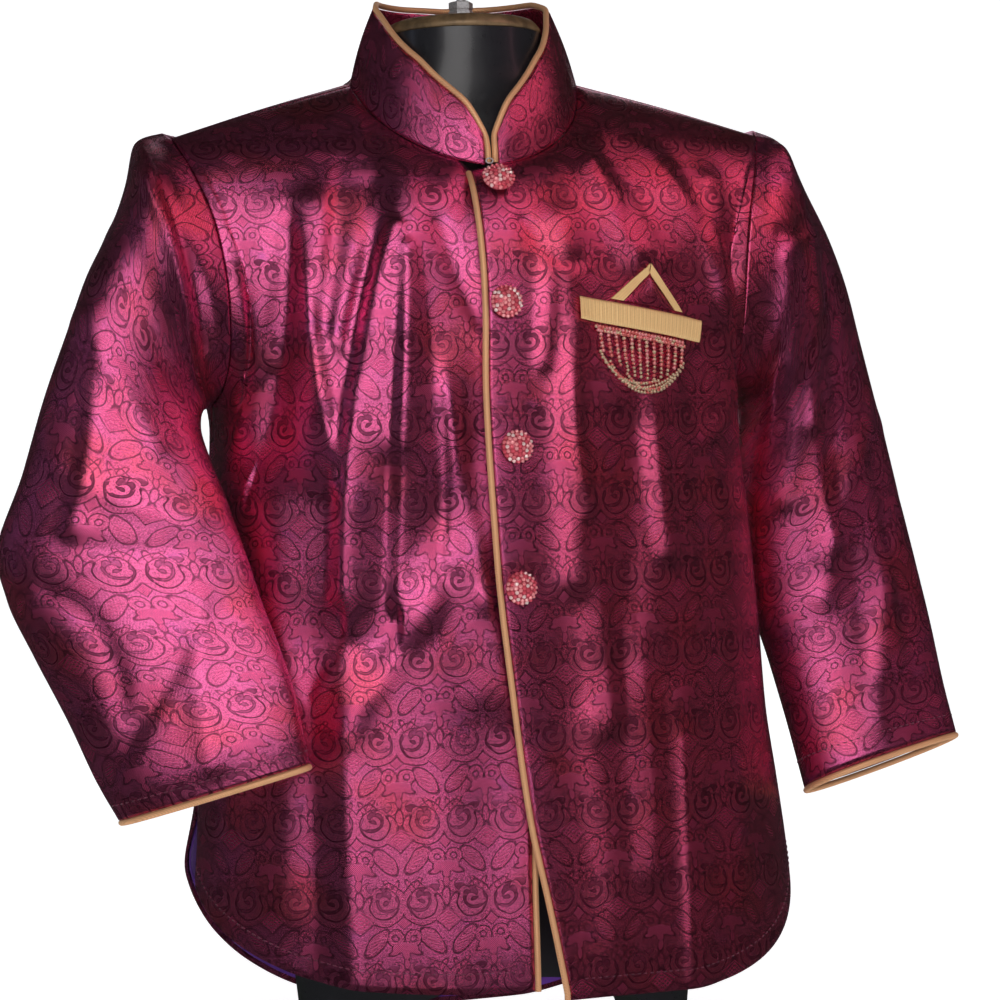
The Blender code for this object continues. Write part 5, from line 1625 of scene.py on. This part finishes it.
class SHERWANI_OT_dress_form(PieceOperator, bpy.types.Operator):
    """Mould the dress form, its neck rim and its hanging bolt"""
    bl_idname = "sherwani.dress_form"
    bl_label = "Dress Form"

    def execute(self, context):
        form = coat().form
        rows = len(FORM["z"]) - 1
        data = lay_sheet("dress_form_body", form_surface, even(form.around), even(rows * 5),
                         closed=True)
        shape = bmesh.new()
        shape.from_mesh(data)
        bmesh.ops.holes_fill(shape, edges=[e for e in shape.edges if e.is_boundary], sides=0)
        bmesh.ops.recalc_face_normals(shape, faces=shape.faces)
        shape.to_mesh(data)
        shape.free()
        body = add_piece("dress_form_body", data, "black_plastic", "dress_form")
        shape = bmesh.new()
        bmesh.ops.create_cone(shape, cap_ends=True, segments=96, radius1=1.0, radius2=1.0,
                              depth=0.3, matrix=Matrix.Rotation(math.pi / 2.0, 4, "X"))
        bmesh.ops.scale(shape, verts=shape.verts,
                        vec=(ARCH_HALF_WIDTH * MM, 1.0, ARCH_HEIGHT * MM))
        arch = bpy.data.objects.new("arch", finished(shape, "arch"))
        context.scene.collection.objects.link(arch)
        cut = body.modifiers.new("arch", "BOOLEAN")
        cut.operation, cut.object, cut.solver = "DIFFERENCE", arch, "EXACT"
        context.view_layer.update()
        graph = context.evaluated_depsgraph_get()
        carved = bpy.data.meshes.new_from_object(body.evaluated_get(graph))
        body.modifiers.clear()
        body.data = carved
        carved.shade_smooth()
        carved.set_sharp_from_angle(angle=math.radians(40.0))
        bpy.data.objects.remove(arch)
        self.hardware()
        return {"FINISHED"}

    def turned(self, name, profile, sides, finish, node, smooth=True):
        """A piece turned from its profile, smooth but for its sharp corners."""
        shape = bmesh.new()
        lathe(shape, profile, sides)
        data = finished(shape, name, smooth)
        if smooth:
            data.set_sharp_from_angle(angle=math.radians(50.0))
        add_piece(name, data, finish, node)

    def hardware(self):
        """The neck's rim, the doubled nut over it and the bent eye of the hook."""
        low, top = FORM["z"][-1] + 0.3, CAP_TOP - 2.6
        self.turned("neck_rim_band", (
            (0.0, low), (38.9, low), (39.4, low + 0.4), (39.6, low + 1.6), (39.3, low + 2.6),
            (37.4, top - 1.6), (36.2, top - 0.4), (35.2, top), (0.0, top)),
            96, "bronze_rim", "neck_cap")
        foot = top + 0.3
        self.turned("bolt_nut_hex", (
            (0.0, foot), (5.6, foot), (6.4, foot + 0.7), (6.4, foot + 6.1), (5.7, foot + 6.7),
            (5.7, foot + 7.0), (6.2, foot + 7.5), (6.2, foot + 10.6), (5.2, foot + 11.2),
            (0.0, foot + 11.2)), 6, "bright_steel", "hanging_bolt_nut", smooth=False)
        foot, radius = foot + 11.5, 7.5
        centre = CAP_TOP + 11.9 + radius
        line = [(0.0, 0.0, foot), (0.0, 0.0, foot + 0.8)]
        for i in range(55):     # nearly once round from the shank, so that the eye stays open
            angle = math.radians(-90.0 + 17.5 * i / 3.0)
            reach = min(i / 6.0, 1.0)
            line.append((radius * math.cos(angle), 0.0,
                         centre + radius * math.sin(angle) - (1.0 - reach) * 0.6))
        add_piece("bolt_eye_rod", cord("bolt_eye_rod", np.array(line) * MM, 2.1 * MM, sides=5),
                  "bright_steel", "hanging_bolt_eye")


# The sweep: from the coat to its edges, how high it rises behind, and its bend, in metres.
SWEEP_REACH, SWEEP_HEIGHT, SWEEP_BEND = 4.0, 5.0, 1.6
AIM_HEIGHT = 0.28       # of the point that every light faces, in metres
CAMERA_SHIFT = 0.011    # of the lens to the picture's right, in metres
AIR_TINT, AIR_STRENGTH = (0.75, 1.0, 0.50), 0.012       # of the air that lights the object

# Name, turn in degrees from the coat's front towards its right, reach and height in
# metres, size, share of the key's power, and tint.
LIGHTS = (
    ("front_softbox", 12.8, 1.80, 0.98, (1.2, 1.8), 1.2, (1.0, 0.97, 0.96)),
    ("right_fill", -56.0, 1.7, 0.85, (0.14, 1.7), 0.055, (1.0, 0.42, 0.52)),
    ("left_edge", 88.0, 1.6, 0.70, (0.18, 0.9), 0.026, (0.66, 0.74, 1.0)),
    ("back_softbox", 196.0, 1.8, 0.9, (0.7, 1.2), 0.22, (1.0, 0.95, 0.97)),
    ("top_wash", -50.0, 1.2, 1.5, (0.8, 0.8), 0.26, (1.0, 0.52, 0.56)),
)


class SHERWANI_OT_studio(PieceOperator, bpy.types.Operator):
    """Set the floor, the soft lights and the camera"""
    bl_idname = "sherwani.studio"
    bl_label = "Studio"

    def execute(self, context):
        studio = coat().studio
        shape = bmesh.new()
        bmesh.ops.create_grid(shape, x_segments=1, y_segments=1, size=SWEEP_REACH)
        back = [e for e in shape.edges if all(v.co.y > 0.0 for v in e.verts)]
        risen = bmesh.ops.extrude_edge_only(shape, edges=back)["geom"]
        bmesh.ops.translate(shape, verts=[v for v in risen if isinstance(v, bmesh.types.BMVert)],
                            vec=(0.0, 0.0, SWEEP_HEIGHT))
        fold = [e for e in shape.edges if all(v.co.y > 0.0 and v.co.z < 0.1 for v in e.verts)]
        bmesh.ops.bevel(shape, geom=fold, offset=SWEEP_BEND, offset_type="OFFSET", segments=24,
                        profile=0.5, affect="EDGES", material=-1)
        bmesh.ops.recalc_face_normals(shape, faces=shape.faces)
        sweep = bpy.data.objects.new("studio_sweep", finished(shape, "studio_sweep"))
        context.scene.collection.objects.link(sweep)
        finish = Finish("pale_paper")
        grain = finish.noise(finish.object_place(60.0), 4.0, 3.0)
        paper = finish.mix(grain * 0.2, rgba(studio.floor), rgba(studio.floor, 0.96))
        finish.set(Base_Color=paper, Roughness=grain * 0.05 + 0.85,
                   Emission_Color=rgba(studio.floor), Emission_Strength=studio.glow)
        sweep.data.materials.append(finish.material)
        sweep.visible_glossy = False

        for name, turn, reach, height, size, share, tint in LIGHTS:
            self.light(name, turn, reach, height, size, studio.key * share, tint)
        self.world(context.scene)
        self.camera(context.scene, studio)
        context.scene.view_settings.view_transform = "Standard"
        return {"FINISHED"}

    def light(self, name, turn, reach, height, size, power, tint):
        """A rectangular soft light that faces the coat's middle."""
        lamp = bpy.data.lights.new(name, "AREA")
        lamp.shape, lamp.size, lamp.size_y = "RECTANGLE", *size
        lamp.energy, lamp.color = power, tint
        thing = bpy.data.objects.new(name, lamp)
        bpy.context.scene.collection.objects.link(thing)
        angle = math.radians(turn)
        place = Vector((-reach * math.sin(angle), -reach * math.cos(angle), height))
        thing.matrix_world = seat(place, Vector((0.0, 0.0, AIM_HEIGHT)) - place, "-Z")

    def world(self, scene):
        """Dim to the object, near white where it is looked at."""
        world = bpy.data.worlds.new("studio_air")
        scene.world = world
        world.use_nodes = True
        world.node_tree.nodes.clear()
        air = Nodes(world.node_tree)
        seen = air.node("ShaderNodeBackground", Color=rgba((1.0, 1.0, 1.0)))
        felt = air.node("ShaderNodeBackground", Color=rgba(AIR_TINT), Strength=AIR_STRENGTH)
        path = air.node("ShaderNodeLightPath").outputs["Is Camera Ray"]
        mix = air.node("ShaderNodeMixShader", None, path, felt.outputs["Background"],
                       seen.outputs["Background"])
        air.node("ShaderNodeOutputWorld", Surface=mix.outputs["Shader"])

    def camera(self, scene, studio):
        """The camera that the picture is taken with, level but for its roll."""
        ahead = Vector((math.sin(studio.turn), math.cos(studio.turn), 0.0))
        across = Vector((math.cos(studio.turn), -math.sin(studio.turn), 0.0))
        lens = bpy.data.cameras.new("photographer")
        lens.lens, lens.sensor_width = studio.lens, 36.0
        thing = bpy.data.objects.new("photographer", lens)
        scene.collection.objects.link(thing)
        place = across * CAMERA_SHIFT + Vector((0.0, 0.0, studio.height)) - ahead * studio.distance
        thing.matrix_world = (Matrix.Translation(place) @ Matrix.Rotation(-studio.turn, 4, "Z")
                              @ Matrix.Rotation(math.pi / 2.0, 4, "X")
                              @ Matrix.Rotation(studio.roll, 4, "Z"))
        scene.camera = thing


# ------------------------------------------------------ settings and sidebar

class SherwaniSettings(bpy.types.PropertyGroup):
    """Everything a user would change on the coat."""
    cloth: PointerProperty(type=BrocadeSettings, name="Cloth", description="Brocade and lining")
    trim: PointerProperty(type=TrimSettings, name="Trim", description="Piping, crystals, beads")
    form: PointerProperty(type=FormSettings, name="Form", description="Dress form")
    studio: PointerProperty(type=StudioSettings, name="Studio", description="Camera and lights")


PIECES = (SHERWANI_OT_dress_form, SHERWANI_OT_fronts, SHERWANI_OT_back, SHERWANI_OT_sleeves,
          SHERWANI_OT_collar, SHERWANI_OT_piping, SHERWANI_OT_buttons, SHERWANI_OT_pocket,
          SHERWANI_OT_fringe, SHERWANI_OT_stitching, SHERWANI_OT_studio)


class SHERWANI_PT_sidebar(bpy.types.Panel):
    """Lists the pieces and the settings that shape them"""
    bl_idname = "SHERWANI_PT_sidebar"
    bl_label = "Sherwani Coat"
    bl_space_type = "VIEW_3D"
    bl_region_type = "UI"
    bl_category = "Sherwani"

    def draw(self, context):
        column = self.layout.column(align=True)
        for piece in PIECES:
            column.operator(piece.bl_idname, text=piece.bl_label)
        settings = context.scene.sherwani
        for group in (settings.cloth, settings.trim, settings.form, settings.studio):
            box = self.layout.box()
            for name in group.bl_rna.properties.keys():
                if name not in ("rna_type", "name"):
                    box.prop(group, name)


CLASSES = (BrocadeSettings, TrimSettings, FormSettings, StudioSettings, SherwaniSettings,
           *PIECES, SHERWANI_PT_sidebar)


def register():
    for kind in CLASSES:
        bpy.utils.register_class(kind)
    bpy.types.Scene.sherwani = PointerProperty(type=SherwaniSettings)


def unregister():
    del bpy.types.Scene.sherwani
    for kind in reversed(CLASSES):
        bpy.utils.unregister_class(kind)


def main():
    register()
    for piece in PIECES:
        group, name = piece.bl_idname.split(".")
        getattr(getattr(bpy.ops, group), name)()


if __name__ == "__main__":
    main()
